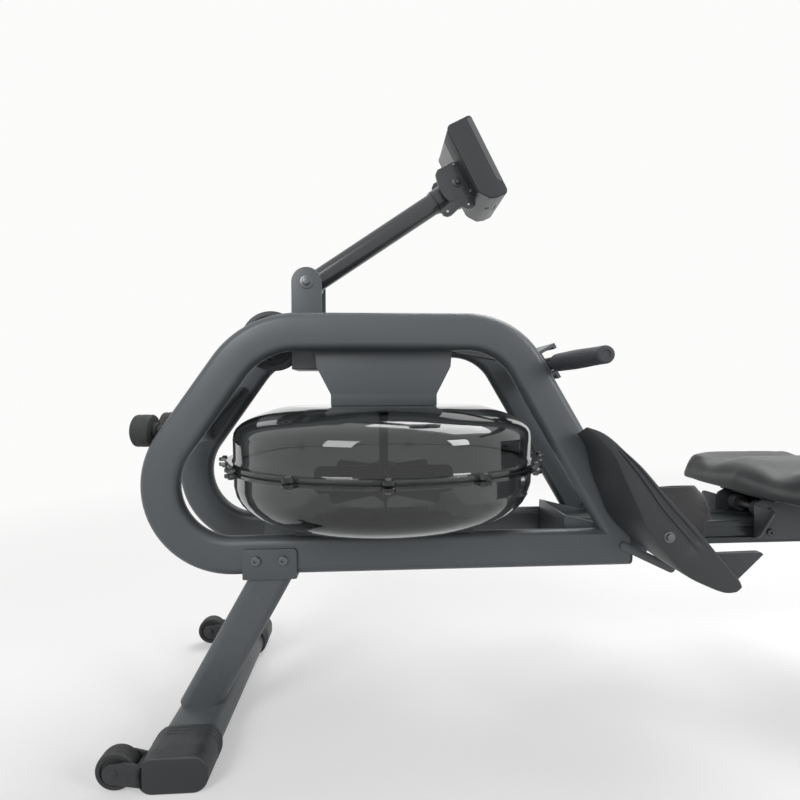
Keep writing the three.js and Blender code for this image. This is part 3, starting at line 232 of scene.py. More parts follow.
def buildGrain():  # fine bumps of a moulding or powder coat, with slow blotches of tone
    group, taken, given = newGroup("surfaceGrain", {"Fineness": 900.0}, ("Height", "Tone"))
    fine = addNoise(group, taken["Vector"], taken["Fineness"], 3, 0.6)
    cells = newNode(group, "TexVoronoi")
    cells.feature = "SMOOTH_F1"
    wire(group, (taken["Vector"], cells.inputs["Vector"]), (taken["Fineness"], cells.inputs["Scale"]))
    mixed = addMath(group, "ADD", fine, addMath(group, "MULTIPLY", cells.outputs["Distance"], 0.6))
    wire(group, (mixed, given["Height"]), (addNoise(group, taken["Vector"], 7.0, 3, 0.5), given["Tone"]))
    return group


def buildWear():  # worn edges: convex corners, broken up by noise
    group, taken, given = newGroup("edgeWear", {"Start": 0.53, "Full": 0.62}, ("Mask",))
    node = newNode(group, "MapRange")
    wire(group, (newNode(group, "NewGeometry").outputs["Pointiness"], node.inputs["Value"]),
         (taken["Start"], node.inputs["From Min"]), (taken["Full"], node.inputs["From Max"]))
    broken = addSpread(group, addNoise(group, taken["Vector"], 90.0, 5, 0.6), 0.42, 0.62)
    group.links.new(addMath(group, "MULTIPLY", node.outputs["Result"], broken, clamp=True), given["Mask"])
    return group


def buildDust():  # a thin film on faces that look up
    group, taken, given = newGroup("dustFilm", {}, ("Mask",))
    split = newNode(group, "SeparateXYZ")
    group.links.new(newNode(group, "NewGeometry").outputs["Normal"], split.inputs[0])
    facing = addSpread(group, split.outputs["Z"], 0.2, 1.0)
    specks = addSpread(group, addNoise(group, taken["Vector"], 34.0, 6, 0.65), 0.35, 0.75)
    group.links.new(addMath(group, "MULTIPLY", facing, specks, clamp=True), given["Mask"])
    return group


def buildWeave():  # woven webbing: warp and weft ribs that pass over and under
    group, taken, given = newGroup("webbingWeave", {"Threads": 700.0}, ("Height", "Tone"))
    split = newNode(group, "SeparateXYZ")
    group.links.new(taken["Vector"], split.inputs[0])
    waves = [addMath(group, "SINE", addMath(group, "MULTIPLY", split.outputs[label], taken["Threads"]))
             for label in ("X", "Y")]
    height = addSpread(group, addMath(group, "MULTIPLY", *waves), -1.0, 1.0)
    fuzz = addNoise(group, taken["Vector"], 260.0, 4, 0.6)
    wire(group, (height, given["Height"]), (addMath(group, "MULTIPLY", height, fuzz), given["Tone"]))
    return group


def buildBrush():  # long fine lines of drawn or rolled metal
    group, taken, given = newGroup("drawnLines", {"Fineness": 420.0}, ("Height", "Tone"))
    stretch = newNode(group, "Mapping")
    stretch.inputs["Scale"].default_value = (0.03, 1, 1)
    group.links.new(taken["Vector"], stretch.inputs["Vector"])
    wire(group, (addNoise(group, stretch.outputs["Vector"], taken["Fineness"], 4, 0.7), given["Height"]),
         (addNoise(group, taken["Vector"], 11.0, 3, 0.5), given["Tone"]))
    return group


grainGroup, wearGroup, dustGroup, weaveGroup, brushGroup = (
    buildGrain(), buildWear(), buildDust(), buildWeave(), buildBrush())


def addGroup(tree, group, vector, **values):
    node = newNode(tree, "Group")
    node.node_tree = group
    tree.links.new(vector, node.inputs["Vector"])
    setInputs(node, values)
    return node.outputs


def blendColours(tree, mask, first, second):
    node = newNode(tree, "Mix")
    node.data_type = "RGBA"
    tree.links.new(mask, node.inputs["Factor"])
    for i, colour in ((6, first), (7, second)):  # the colour sockets A and B
        if isinstance(colour, tuple):
            node.inputs[i].default_value = (*colour, 1)
        else:
            tree.links.new(colour, node.inputs[i])
    return node.outputs[2]


def makeFinish(name, recipe):
    mat = bpy.data.materials.new(name)
    mat.use_nodes = True
    tree = mat.node_tree
    shader = tree.nodes["Principled BSDF"]
    coords = newNode(tree, "TexCoord").outputs[recipe.get("coords", "Object")]
    kind = {"grain": grainGroup, "weave": weaveGroup, "brush": brushGroup}[recipe.get("pattern", "grain")]
    label = "Threads" if kind is weaveGroup else "Fineness"
    pattern = addGroup(tree, kind, coords, **{label: recipe.get("fineness", 900.0)})
    colour = blendColours(tree, pattern["Tone"], recipe["dark"], recipe["light"])
    if recipe.get("wear"):
        worn = addGroup(tree, wearGroup, coords)["Mask"]
        colour = blendColours(tree, addMath(tree, "MULTIPLY", worn, recipe["wear"]), colour, recipe["wornTone"])
    if recipe.get("dust"):
        film = addGroup(tree, dustGroup, coords)["Mask"]
        colour = blendColours(tree, addMath(tree, "MULTIPLY", film, recipe["dust"]), colour, dustTone)
    wire(tree, (colour, shader.inputs["Base Color"]),
         (addSpread(tree, pattern["Tone"], 0.3, 0.7, *recipe["rough"]), shader.inputs["Roughness"]))
    if recipe.get("bump", 0.12):
        bump = newNode(tree, "Bump")
        setInputs(bump, {"Strength": recipe.get("bump", 0.12), "Distance": recipe.get("relief", 0.0002)})
        wire(tree, (pattern["Height"], bump.inputs["Height"]), (bump.outputs["Normal"], shader.inputs["Normal"]))
    setInputs(shader, recipe.get("plain", {}))
    return mat


finishes = {
    "framePaint": {"dark": (0.078, 0.086, 0.093), "light": (0.100, 0.110, 0.118), "rough": (0.36, 0.48),
                   "fineness": 1500.0, "bump": 0.10, "wear": 0.12, "wornTone": (0.17, 0.18, 0.185),
                   "dust": 0.10, "plain": {"Specular IOR Level": 0.5, "Metallic": 0.15}},
    "blackPlastic": {"dark": (0.016, 0.018, 0.020), "light": (0.027, 0.029, 0.033), "rough": (0.42, 0.58),
                     "fineness": 1100.0, "bump": 0.22, "wear": 0.25, "wornTone": (0.10, 0.10, 0.105), "dust": 0.10},
    "blackPaint": {"dark": (0.030, 0.033, 0.037), "light": (0.046, 0.050, 0.055), "rough": (0.34, 0.46),
                   "fineness": 1500.0, "bump": 0.10, "wear": 0.3, "wornTone": (0.14, 0.14, 0.145), "dust": 0.08},
    "armPaint": {"dark": (0.034, 0.037, 0.040), "light": (0.046, 0.050, 0.054), "rough": (0.20, 0.28),
                 "fineness": 1300.0, "bump": 0.05, "plain": {"Specular IOR Level": 0.6}},
    "softRubber": {"dark": (0.018, 0.019, 0.020), "light": (0.034, 0.035, 0.037), "rough": (0.62, 0.8),
                   "fineness": 700.0, "bump": 0.3, "wear": 0.2, "wornTone": (0.08, 0.08, 0.08), "dust": 0.14},
    "gripFoam": {"dark": (0.036, 0.039, 0.045), "light": (0.060, 0.064, 0.072), "rough": (0.6, 0.78),
                 "fineness": 520.0, "bump": 0.4, "relief": 0.0003, "dust": 0.06},
    "satinSteel": {"dark": (0.46, 0.47, 0.48), "light": (0.60, 0.61, 0.62), "rough": (0.24, 0.38),
                   "pattern": "brush", "bump": 0.06, "plain": {"Metallic": 1.0}},
    "darkBolt": {"dark": (0.10, 0.105, 0.11), "light": (0.17, 0.175, 0.18), "rough": (0.3, 0.42),
                 "fineness": 800.0, "bump": 0.08, "plain": {"Metallic": 0.7}},
    "railMetal": {"dark": (0.024, 0.029, 0.031), "light": (0.038, 0.044, 0.047), "rough": (0.26, 0.38),
                  "pattern": "brush", "fineness": 520.0, "bump": 0.08, "plain": {"Metallic": 0.35}},
    "webbingCloth": {"coords": "UV", "dark": (0.010, 0.010, 0.012), "light": (0.024, 0.024, 0.028),
                     "rough": (0.75, 0.9),
                     "pattern": "weave", "fineness": 2600.0, "bump": 0.6, "relief": 0.0004,
                     "plain": {"Sheen Weight": 0.25, "Sheen Roughness": 0.5}},
    "seatSkin": {"dark": (0.019, 0.020, 0.022), "light": (0.034, 0.036, 0.038), "rough": (0.48, 0.62),
                 "fineness": 420.0, "bump": 0.35, "relief": 0.0003, "wear": 0.15, "wornTone": (0.12, 0.12, 0.12),
                 "dust": 0.06, "plain": {"Sheen Weight": 0.1}},
    "coverGrey": {"dark": (0.34, 0.352, 0.345), "light": (0.39, 0.402, 0.395), "rough": (0.42, 0.55),
                  "fineness": 1100.0, "bump": 0.14, "dust": 0.06},
    # this pale grey is painted highlight: the strips along the console's front edges stand in for the gloss on its
    # rounded front
    "paintedHighlightGrey": {"dark": (0.10, 0.106, 0.108), "light": (0.125, 0.132, 0.134), "rough": (0.4, 0.5),
                  "fineness": 1100.0, "bump": 0.12},
    "screenGloss": {"dark": (0.012, 0.014, 0.016), "light": (0.018, 0.020, 0.023), "rough": (0.06, 0.12),
                    "fineness": 500.0, "bump": 0.01, "plain": {"Coat Weight": 0.6, "Coat Roughness": 0.05}},
    "shellPlastic": {"dark": (0.17, 0.178, 0.18), "light": (0.21, 0.22, 0.222), "rough": (0.012, 0.03),
                     "fineness": 60.0, "bump": 0, "plain": {"Transmission Weight": 1.0, "IOR": 1.47, "Coat Weight": 0.2,
                                                            "Coat Roughness": 0.03}},
}
dustTone = (0.42, 0.42, 0.41)
finish = {name: makeFinish(name, recipe) for name, recipe in finishes.items()}


print("finishes ready")

# ---- modelling helpers: each starts from a primitive and shapes it in edit mode ----


def selectOnly(piece):
    deselectAll()
    piece.select_set(True)
    bpy.context.view_layer.objects.active = piece


def editPiece(piece):
    selectOnly(piece)
    bpy.ops.object.mode_set(mode="EDIT")


def leaveEdit():
    bpy.ops.object.mode_set(mode="OBJECT")


def pick(kind, test):  # selects faces, edges or points of the piece in edit mode by place and normal
    bpy.ops.mesh.select_mode(type=kind)
    bpy.ops.mesh.select_all(action="DESELECT")
    mesh = bmesh.from_edit_mesh(bpy.context.edit_object.data)
    if kind == "FACE":
        chosen = [face for face in mesh.faces if test(face.calc_center_median(), face.normal)]
    elif kind == "EDGE":
        ends = ((edge, *(point.co for point in edge.verts)) for edge in mesh.edges)
        chosen = [edge for edge, a, b in ends if test((a + b) / 2, (b - a).normalized())]
    else:
        chosen = [point for point in mesh.verts if test(point.co)]
    for part in chosen:
        part.select_set(True)
    mesh.select_flush_mode()
    bmesh.update_edit_mesh(bpy.context.edit_object.data)


def extrudeBy(step):
    bpy.ops.mesh.extrude_region_move(TRANSFORM_OT_translate={"value": tuple(step)})


def growBy(shares, centre):
    bpy.ops.transform.resize(value=tuple(shares), center_override=tuple(centre))


def spinBy(degrees, axis, centre, steps):  # right-handed about the axis
    bpy.ops.mesh.spin(steps=steps, angle=-math.radians(degrees), center=tuple(centre), axis=axis)


def openEdit(name):  # the fresh primitive gets its name and its place in its mesh
    piece = bpy.context.object
    piece.name = piece.data.name = name
    bpy.ops.object.transform_apply(location=True, rotation=True, scale=True)
    bpy.ops.object.mode_set(mode="EDIT")
    return piece


def closeEdit():
    bpy.ops.mesh.select_all(action="SELECT")
    bpy.ops.mesh.remove_doubles(threshold=0.00002)
    bpy.ops.mesh.normals_make_consistent(inside=False)
    leaveEdit()


def applyModifier(piece, kind, **settings):
    selectOnly(piece)
    modifier = piece.modifiers.new(kind.title(), kind)
    for label, value in settings.items():
        setattr(modifier, label, value)
    bpy.ops.object.modifier_apply(modifier=modifier.name)
    return piece


def bevelPicked(piece, kind, test, width, segments):  # rounds what the test picks
    editPiece(piece)
    pick(kind, test)
    bpy.ops.mesh.bevel(offset=width * mm, segments=segments, affect="EDGES")
    leaveEdit()
    return piece


def softEdges(piece, width, segments=2, angle=35):
    return applyModifier(piece, "BEVEL", width=width * mm, segments=segments, limit_method="ANGLE",
                         angle_limit=math.radians(angle), harden_normals=False)


def cutAway(piece, *cutters, **settings):
    for cutter in cutters:
        applyModifier(piece, "BOOLEAN", operation="DIFFERENCE", object=cutter, solver="EXACT", **settings)
        bpy.data.objects.remove(cutter)
    return piece


def joinPieces(name, pieces):
    deselectAll()
    for piece in pieces:
        piece.select_set(True)
    bpy.context.view_layer.objects.active = pieces[0]
    if len(pieces) > 1:
        bpy.ops.object.join()
    pieces[0].name = pieces[0].data.name = name
    return pieces[0]


def movePiece(piece, matrix):  # places it and applies the place
    selectOnly(piece)
    piece.matrix_world = matrix
    bpy.ops.object.transform_apply(location=True, rotation=True, scale=True)
    if matrix.determinant() < 0:
        editPiece(piece)
        closeEdit()
    return piece


def copyPiece(piece, name, matrix):
    copied = piece.copy()
    copied.data = piece.data.copy()
    copied.name = copied.data.name = name
    bpy.context.scene.collection.objects.link(copied)
    return movePiece(copied, matrix)


def mirrorPiece(piece, name):  # the same piece on the machine's other side
    return copyPiece(piece, name, Matrix.Scale(-1, 4, (0, 1, 0)))


def basisAt(place, *along):  # a frame at a place, with its X, Y and Z along three directions
    x, y, z = (Vector(direction).normalized() for direction in along)
    return Matrix(((x.x, y.x, z.x, place[0]), (x.y, y.y, z.y, place[1]), (x.z, y.z, z.z, place[2]), (0, 0, 0, 1)))


def onTank(piece):  # from the tank's own axis and seam to the machine's frame
    return movePiece(piece, Matrix.Translation(spot(0, 0, 0)))


def outward(piece, place, sign=1):  # stands its Z out to the machine's right, or left for -1
    return movePiece(piece, basisAt(place, (1, 0, 0), (0, 0, -sign), (0, sign, 0)))


def downward(piece, place):
    return movePiece(piece, basisAt(place, (1, 0, 0), (0, -1, 0), (0, 0, -1)))


def ringPlace(radius, angle, height=0):  # a place on a circle about Z
    return Matrix.Translation((radius * mm * math.cos(angle), radius * mm * math.sin(angle), height * mm))


def span(sign, inner, outer):  # two distances from the middle, on one side, in rising order
    return sorted((sign * inner, sign * outer))


def barrel(low, high, radius, step, inset):  # a turned profile with eased ends
    return [(low, radius - inset), (low + step, radius), (high - step, radius), (high, radius - inset)]


def finishPiece(piece, finishName, body, replaced=(), smooth=32):
    selectOnly(piece)
    bpy.ops.object.shade_smooth_by_angle(angle=math.radians(smooth))
    piece.data.materials.clear()
    piece.data.materials.append(finish[finishName])
    if body:
        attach(piece, body)
    if replaced:
        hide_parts(*replaced)
    return piece


def finishPair(piece, finishName, body, replaced, smooth=32):  # a right piece and its mirrored left one
    left = mirrorPiece(piece, piece.name.replace("right", "left").replace("Right", "Left"))
    for side, one in (("right", piece), ("left", left)):
        finishPiece(one, finishName, body.format(side), [replaced.format(side)] if replaced else (), smooth)


def block(name, low, high):  # a block between two corners, from millimetres of the tank's frame
    return cornerBlock(name, spot(*low), spot(*high))


def smallBlock(name, low, high):  # the same in a local frame
    return cornerBlock(name, Vector(low) * mm, Vector(high) * mm)


def cornerBlock(name, a, b):
    deselectAll()
    bpy.ops.mesh.primitive_cube_add(size=1, location=(a + b) / 2)
    bpy.context.object.scale = b - a
    piece = openEdit(name)
    leaveEdit()
    return piece


def discStack(name, profile, sides=48, hollow=False):  # turned about Z: (height, radius) in millimetres
    deselectAll()
    start, radius = profile[0]
    bpy.ops.mesh.primitive_circle_add(vertices=sides, radius=radius * mm, location=(0, 0, start * mm),
                                      fill_type="NOTHING" if hollow else "NGON")
    piece = openEdit(name)
    bpy.ops.mesh.select_all(action="SELECT")
    for height, nextRadius in profile[1:]:
        extrudeBy((0, 0, (height - start) * mm))
        share = nextRadius / radius
        growBy((share, share, 1), (0, 0, height * mm))
        start, radius = height, nextRadius
    closeEdit()
    return piece


def onAxis(piece, axis, place):  # stands a turned piece on its axis: its Z goes to X, Y or stays
    turns = {"X": ((0, 1, 0), (0, 0, 1), (1, 0, 0)), "Y": ((0, 0, 1), (1, 0, 0), (0, 1, 0)),
             "Z": ((1, 0, 0), (0, 1, 0), (0, 0, 1))}[axis]
    return movePiece(piece, basisAt(place, *turns))


def drawnPlate(name, points, thick):  # a flat outline in X-Y, drawn point by point, made thick along Z
    deselectAll()
    bpy.ops.mesh.primitive_circle_add(vertices=len(points), radius=1, fill_type="NGON")
    piece = openEdit(name)
    mesh = bmesh.from_edit_mesh(piece.data)
    mesh.verts.ensure_lookup_table()
    for vert, (u, v) in zip(mesh.verts, points):
        vert.co = (u * mm, v * mm, 0)
    bmesh.update_edit_mesh(piece.data)
    bpy.ops.mesh.select_all(action="SELECT")
    if thick:
        extrudeBy((0, 0, thick * mm))
    closeEdit()
    return piece


def plateXZ(name, points, y0, y1):  # outline in the tank frame's X-Z, between two places across
    piece = drawnPlate(name, points, y1 - y0)
    return movePiece(piece, basisAt(spot(0, y1, 0), (1, 0, 0), (0, 0, 1), (0, -1, 0)))


def plateYZ(name, points, x0, x1):
    piece = drawnPlate(name, points, x1 - x0)
    return movePiece(piece, basisAt(spot(x0, 0, 0), (0, 1, 0), (0, 0, 1), (1, 0, 0)))


def plateXY(name, points, z0, z1):  # outline in X-Y between two heights
    piece = drawnPlate(name, points, z1 - z0)
    return movePiece(piece, basisAt(spot(0, 0, z0), (1, 0, 0), (0, 1, 0), (0, 0, 1)))


def roundCorners(points, radii, steps=5):  # an outline's corners turned to arcs
    made = []
    count = len(points)
    for i, (x, z) in enumerate(points):
        radius = radii[i] if isinstance(radii, (list, tuple)) else radii
        if not radius:
            made.append((x, z))
            continue
        here = Vector((x, z))
        before = (Vector(points[i - 1]) - here).normalized()
        after = (Vector(points[(i + 1) % count]) - here).normalized()
        angle = before.angle(after)
        reach = radius / math.tan(angle / 2)
        centre = here + (before + after).normalized() * (radius / math.sin(angle / 2))
        start, end = here + before * reach - centre, here + after * reach - centre
        sweep = start.angle_signed(end)
        for k in range(steps + 1):
            turned = start.copy()
            turned.rotate(Matrix.Rotation(-sweep * k / steps, 2))
            made.append(tuple(centre + turned))
    return made


def arcPoints(x, z, radius, start, end, steps):
    turns = [math.radians(start + (end - start) * k / steps) for k in range(steps + 1)]
    return [(x + radius * math.cos(turn), z + radius * math.sin(turn)) for turn in turns]


def hexBolt(name, head=10, tall=6, washer=13):  # button-edged hexagon head on a washer, along Z
    cap = discStack(name + "Head", [(1.4, head * 0.97), (1.4 + tall * 0.7, head), (1.4 + tall, head * 0.86)], 6)
    softEdges(cap, 0.5, 2)
    ring = discStack(name + "Washer", [(0, washer), (1.1, washer), (1.4, washer * 0.96)], 28)
    return joinPieces(name, [cap, ring])


def socketScrew(name, head=5, tall=3.2):  # round head with a hexagon socket, along Z
    cap = discStack(name, [(0, head * 0.94), (tall * 0.3, head), (tall * 0.75, head), (tall, head * 0.84)], 24)
    editPiece(cap)
    pick("FACE", lambda c, n: n.z > 0.9 and c.z > tall * 0.9 * mm)
    bpy.ops.mesh.inset(thickness=head * 0.42 * mm, depth=0)
    extrudeBy((0, 0, -tall * 0.55 * mm))
    closeEdit()
    return cap


print("helpers ready")

# ---- frame loops: a flat-oval tube swept round its bends, sawn off at the rear ----
loop = {"tall": 60, "wide": 30, "side": 76, "bottom": -141, "frontBend": (-237, -30, 111),
        "noseBend": (-135.5, 77, 132), "rearBend": (133, 98, 111), "frontLean": 54.7, "rearLean": 60,
        "start": 430, "legEnd": -152, "sawn": 395, "sides": 40}


def buildLoop(name):
    lean, rear = math.radians(loop["frontLean"]), math.radians(loop["rearLean"])
    deselectAll()
    bpy.ops.mesh.primitive_circle_add(vertices=loop["sides"], radius=loop["wide"] / 2 * mm, fill_type="NGON",
                                      location=spot(loop["start"], 0, loop["bottom"]),
                                      rotation=(0, math.pi / 2, 0))
    piece = openEdit(name)
    middle = spot(0, 0, loop["bottom"]).z
    half = (loop["tall"] - loop["wide"]) / 2 * mm
    pick("VERT", lambda p: p.z > middle + 1e-5)
    bpy.ops.transform.translate(value=(0, 0, half))
    pick("VERT", lambda p: p.z < middle - 1e-5)
    bpy.ops.transform.translate(value=(0, 0, -half))
    bpy.ops.mesh.select_all(action="SELECT")
    fx, fz, fr = loop["frontBend"]
    nx, nz, nr = loop["noseBend"]
    rx, rz, rr = loop["rearBend"]
    extrudeBy(((fx - loop["start"]) * mm, 0, 0))
    spinBy(180 - loop["frontLean"], (0, 1, 0), spot(fx, 0, fz), 26)
    out = Vector((math.cos(math.pi / 2 + lean), math.sin(math.pi / 2 + lean)))
    run = Vector((nx, nz)) + out * nr - Vector((fx, fz)) - out * fr
    extrudeBy((run.x * mm, 0, run.y * mm))
    spinBy(loop["frontLean"], (0, 1, 0), spot(nx, 0, nz), 16)
    extrudeBy(((rx - nx) * mm, 0, 0))
    spinBy(loop["rearLean"], (0, 1, 0), spot(rx, 0, rz), 16)
    legTop = rz + rr * math.cos(rear)
    fall = legTop - loop["legEnd"]
    extrudeBy((fall / math.tan(rear) * mm, 0, -fall * mm))
    closeEdit()
    saw = block("saw", (loop["sawn"], -60, -260), (loop["sawn"] + 160, 60, 60))
    applyModifier(piece, "BOOLEAN", operation="DIFFERENCE", object=saw, solver="EXACT", use_self=True)
    bpy.data.objects.remove(saw)
    return piece


def buildLoops():
    right = buildLoop("rightLoopTube")
    movePiece(right, Matrix.Translation((0, loop["side"] * mm, 0)))
    left = copyPiece(right, "leftLoopTube", Matrix.Translation((0, -2 * loop["side"] * mm, 0)))
    for piece, side in ((left, "left"), (right, "right")):
        finishPiece(piece, "framePaint", "machine", [f"{side}_loop"], 40)


buildLoops()
print("frame loops made")

# ---- water tank: two turned shells with screwed tabs round the seam ----
tank = {"wall": 4, "tabs": 13, "tabReach": 266, "tabHalf": 9, "mouth": 26, "sides": 128,
        "upper": [(1.5, 262), (6.4, 262), (6.6, 251.5), (12, 250), (41, 250), (50, 248.4), (57, 244.5), (64, 237),
                  (70, 227), (75.5, 215), (80.5, 202), (85, 189), (88.6, 176), (90.6, 165), (91, 156)],
        "lower": [(-1.5, 262), (-6.4, 262), (-6.6, 251.5), (-12, 250), (-30, 249.4), (-46, 246), (-58, 239.5),
                  (-68, 230.5), (-76, 219), (-81.5, 207), (-84.4, 195), (-85, 186)]}


def buildShell(name, profile, hole):
    piece = discStack(name, profile, tank["sides"], hollow=True)
    editPiece(piece)
    last, radius = profile[-1]
    flat = radius * mm * math.cos(math.pi / tank["sides"])
    level = (max if last > 0 else min)(v.co.z for v in bmesh.from_edit_mesh(piece.data).verts)
    pick("EDGE", lambda c, d: abs(c.z - level) < 1e-6 and abs(d.z) < 1e-6 and abs(c.xy.length - flat) < 1e-5)
    if hole:
        extrudeBy((0, 0, 0))
        growBy((hole / radius, hole / radius, 1), (0, 0, level))
    else:
        bpy.ops.mesh.edge_face_add()
        bpy.ops.mesh.inset(thickness=radius * 0.5 * mm, depth=0)
    closeEdit()
    top = max(piece.data.polygons, key=lambda f: abs(f.center.z))
    if top.normal.z * top.center.z < 0:
        editPiece(piece)
        bpy.ops.mesh.select_all(action="SELECT")
        bpy.ops.mesh.flip_normals()
        leaveEdit()
    return applyModifier(piece, "SOLIDIFY", thickness=tank["wall"] * mm, offset=-1, use_even_offset=True)


def buildTank():
    shells = [buildShell("upperTankShell", tank["upper"], tank["mouth"]),
              buildShell("lowerTankShell", tank["lower"], None)]
    screw = socketScrew("tabScrew", 4.2, 3.0)
    screws = []
    for shell, which, low, high in zip(shells, ("upper", "lower"), (1.6, -6.6), (6.6, -1.6)):
        tabs = []
        for i in range(tank["tabs"]):
            angle = -math.pi / 2 + 2 * math.pi * i / tank["tabs"]
            tab = discStack("tab", barrel(low, high, tank["tabHalf"], 0.6, 0.5), 20)
            tabs.append(movePiece(tab, ringPlace(tank["tabReach"], angle)))
            head = ringPlace(tank["tabReach"], angle, high if which == "upper" else low)
            if which == "lower":
                head = head @ Matrix.Rotation(math.pi, 4, "X")
            screws.append(copyPiece(screw, "tabScrewCopy", head))
        shell = onTank(joinPieces(shell.name, [shell] + tabs))
        finishPiece(shell, "shellPlastic", "machine", [f"{which}_tank_shell"], 30)
    bpy.data.objects.remove(screw)
    finishPiece(onTank(joinPieces("tankTabScrews", screws)), "darkBolt", "machine", (), 30)


buildTank()
print("tank made")

# ---- pedals, heel rests and foot bands: shaped in the right pedal's own frame, then mirrored ----


def smoothRows(rows, steps):  # evenly eased rows between given ones
    made = []
    for i in range(len(rows) - 1):
        a, b, c, d = (rows[max(i - 1, 0)], rows[i], rows[i + 1], rows[min(i + 2, len(rows) - 1)])
        for k in range(steps):
            t = k / steps
            made.append(tuple(0.5 * (2 * q + (r - p) * t + (2 * p - 5 * q + 4 * r - s) * t * t
                                     + (3 * q - p - 3 * r + s) * t ** 3) for p, q, r, s in zip(a, b, c, d)))
    made.append(tuple(rows[-1]))
    return made


def sCurve(value, low, high):
    t = min(max((value - low) / (high - low), 0), 1)
    return t * t * (3 - 2 * t)


def loftSections(name, sections, mapped=False):  # closed rings with the same number of points, in millimetres
    deselectAll()
    bpy.ops.mesh.primitive_circle_add(vertices=len(sections[0]), radius=1, fill_type="NGON")
    piece = openEdit(name)
    bpy.ops.mesh.select_all(action="SELECT")
    mesh = bmesh.from_edit_mesh(piece.data)
    mesh.verts.ensure_lookup_table()
    ring = list(range(len(sections[0])))
    for i, place in zip(ring, sections[0]):
        mesh.verts[i].co = Vector(place) * mm
    rings = [ring]
    for section in sections[1:]:
        extrudeBy((0, 0, 0))
        mesh = bmesh.from_edit_mesh(piece.data)
        mesh.verts.ensure_lookup_table()
        ring = [next(e.other_vert(mesh.verts[i]).index for e in mesh.verts[i].link_edges
                     if e.other_vert(mesh.verts[i]).select) for i in ring]
        for i, place in zip(ring, section):
            mesh.verts[i].co = Vector(place) * mm
        rings.append(ring)
    bmesh.update_edit_mesh(piece.data)
    bpy.ops.mesh.select_all(action="SELECT")
    bpy.ops.mesh.normals_make_consistent(inside=False)
    leaveEdit()
    if mapped:  # a map in metres that follows the strap: across in U, along in V
        mapLoops(piece, sections, rings)
    return piece


def mapLoops(piece, sections, rings):
    def gap(first, second):
        return (Vector(second) - Vector(first)).length * mm

    along, place = 0, {}
    for s, ring in enumerate(rings):
        if s:
            along += gap(sections[s - 1][0], sections[s][0])
        across = 0
        for k, i in enumerate(ring):
            if k:
                across += gap(sections[s][k - 1], sections[s][k])
            place[i] = (k, across, along)
    last = len(rings[0]) - 1
    layer = piece.data.uv_layers.new(name="clothMap")
    for face in piece.data.polygons:
        turns = {place[i][0] for i in face.vertices}
        for at, i in zip(face.loop_indices, face.vertices):
            k, u, v = place[i]
            layer.data[at].uv = (-0.004 if k == 0 and last in turns and len(turns) == 2 else u, v)


pedal = {"toe": (288, 0, 74), "slope": 47.5, "outer": 191, "inner": 95, "tray": 7,
         "outerSide": [(1, -15, -17), (19, -5, -14), (38, 0, -13), (61, 2, -15), (92, 5, -25), (115, 5, -32),
                       (141, 4, -40), (159, 4, -47), (185, 4, -50), (215, 4, -52), (242, 3, -53), (262, 2, -50),
                       (290, 1, -39), (312, 0, -28), (322, -3, -16)],
         "innerSide": [(33, -4, -7), (42, 1, -8), (55, 3, -11), (74, 4, -21), (98, 5, -34), (120, 5, -42),
                       (140, 4, -50), (158, 4, -56), (184, 4, -58), (206, 4, -56), (228, 3, -54), (245, 2, -50),
                       (265, 1, -44), (290, 0, -34), (318, -3, -20)],
         "grooves": ((0.44, 0.32), (0.22, 0.10)), "grooveDeep": 1.7, "ribs": 15, "ribStep": 13, "firstRib": 58,
         "bolt": (196, -33)}
footBand = {"middle": 143, "half": 45.5, "rise": 49, "thick": 2.2, "hem": 3.4, "slant": 25,
            "front": [(0, 130), (7, 134), (12.7, 140.5), (18, 147.5), (32, 160), (49, 174)],
            "rear": [(0, 238), (18, 215), (19.5, 218), (30, 221), (36.5, 206), (43, 193), (49, 182)]}
heelCup = {"start": 256, "end": 314, "inner": 100.4, "outer": 185.6, "wall": 5, "tall": 52, "base": -6.6,
           "innerTall": 13}
slope = math.radians(pedal["slope"])
pedalFrame = basisAt(spot(*pedal["toe"]), (math.cos(slope), 0, -math.sin(slope)), (0, 1, 0),
                     (math.sin(slope), 0, math.cos(slope)))


def between(rows, value):  # the second column at a value of the first
    for (a, low), (b, high) in zip(rows, rows[1:]):
        if value <= b:
            return low + (high - low) * max(value - a, 0) / (b - a)
    return rows[-1][1]


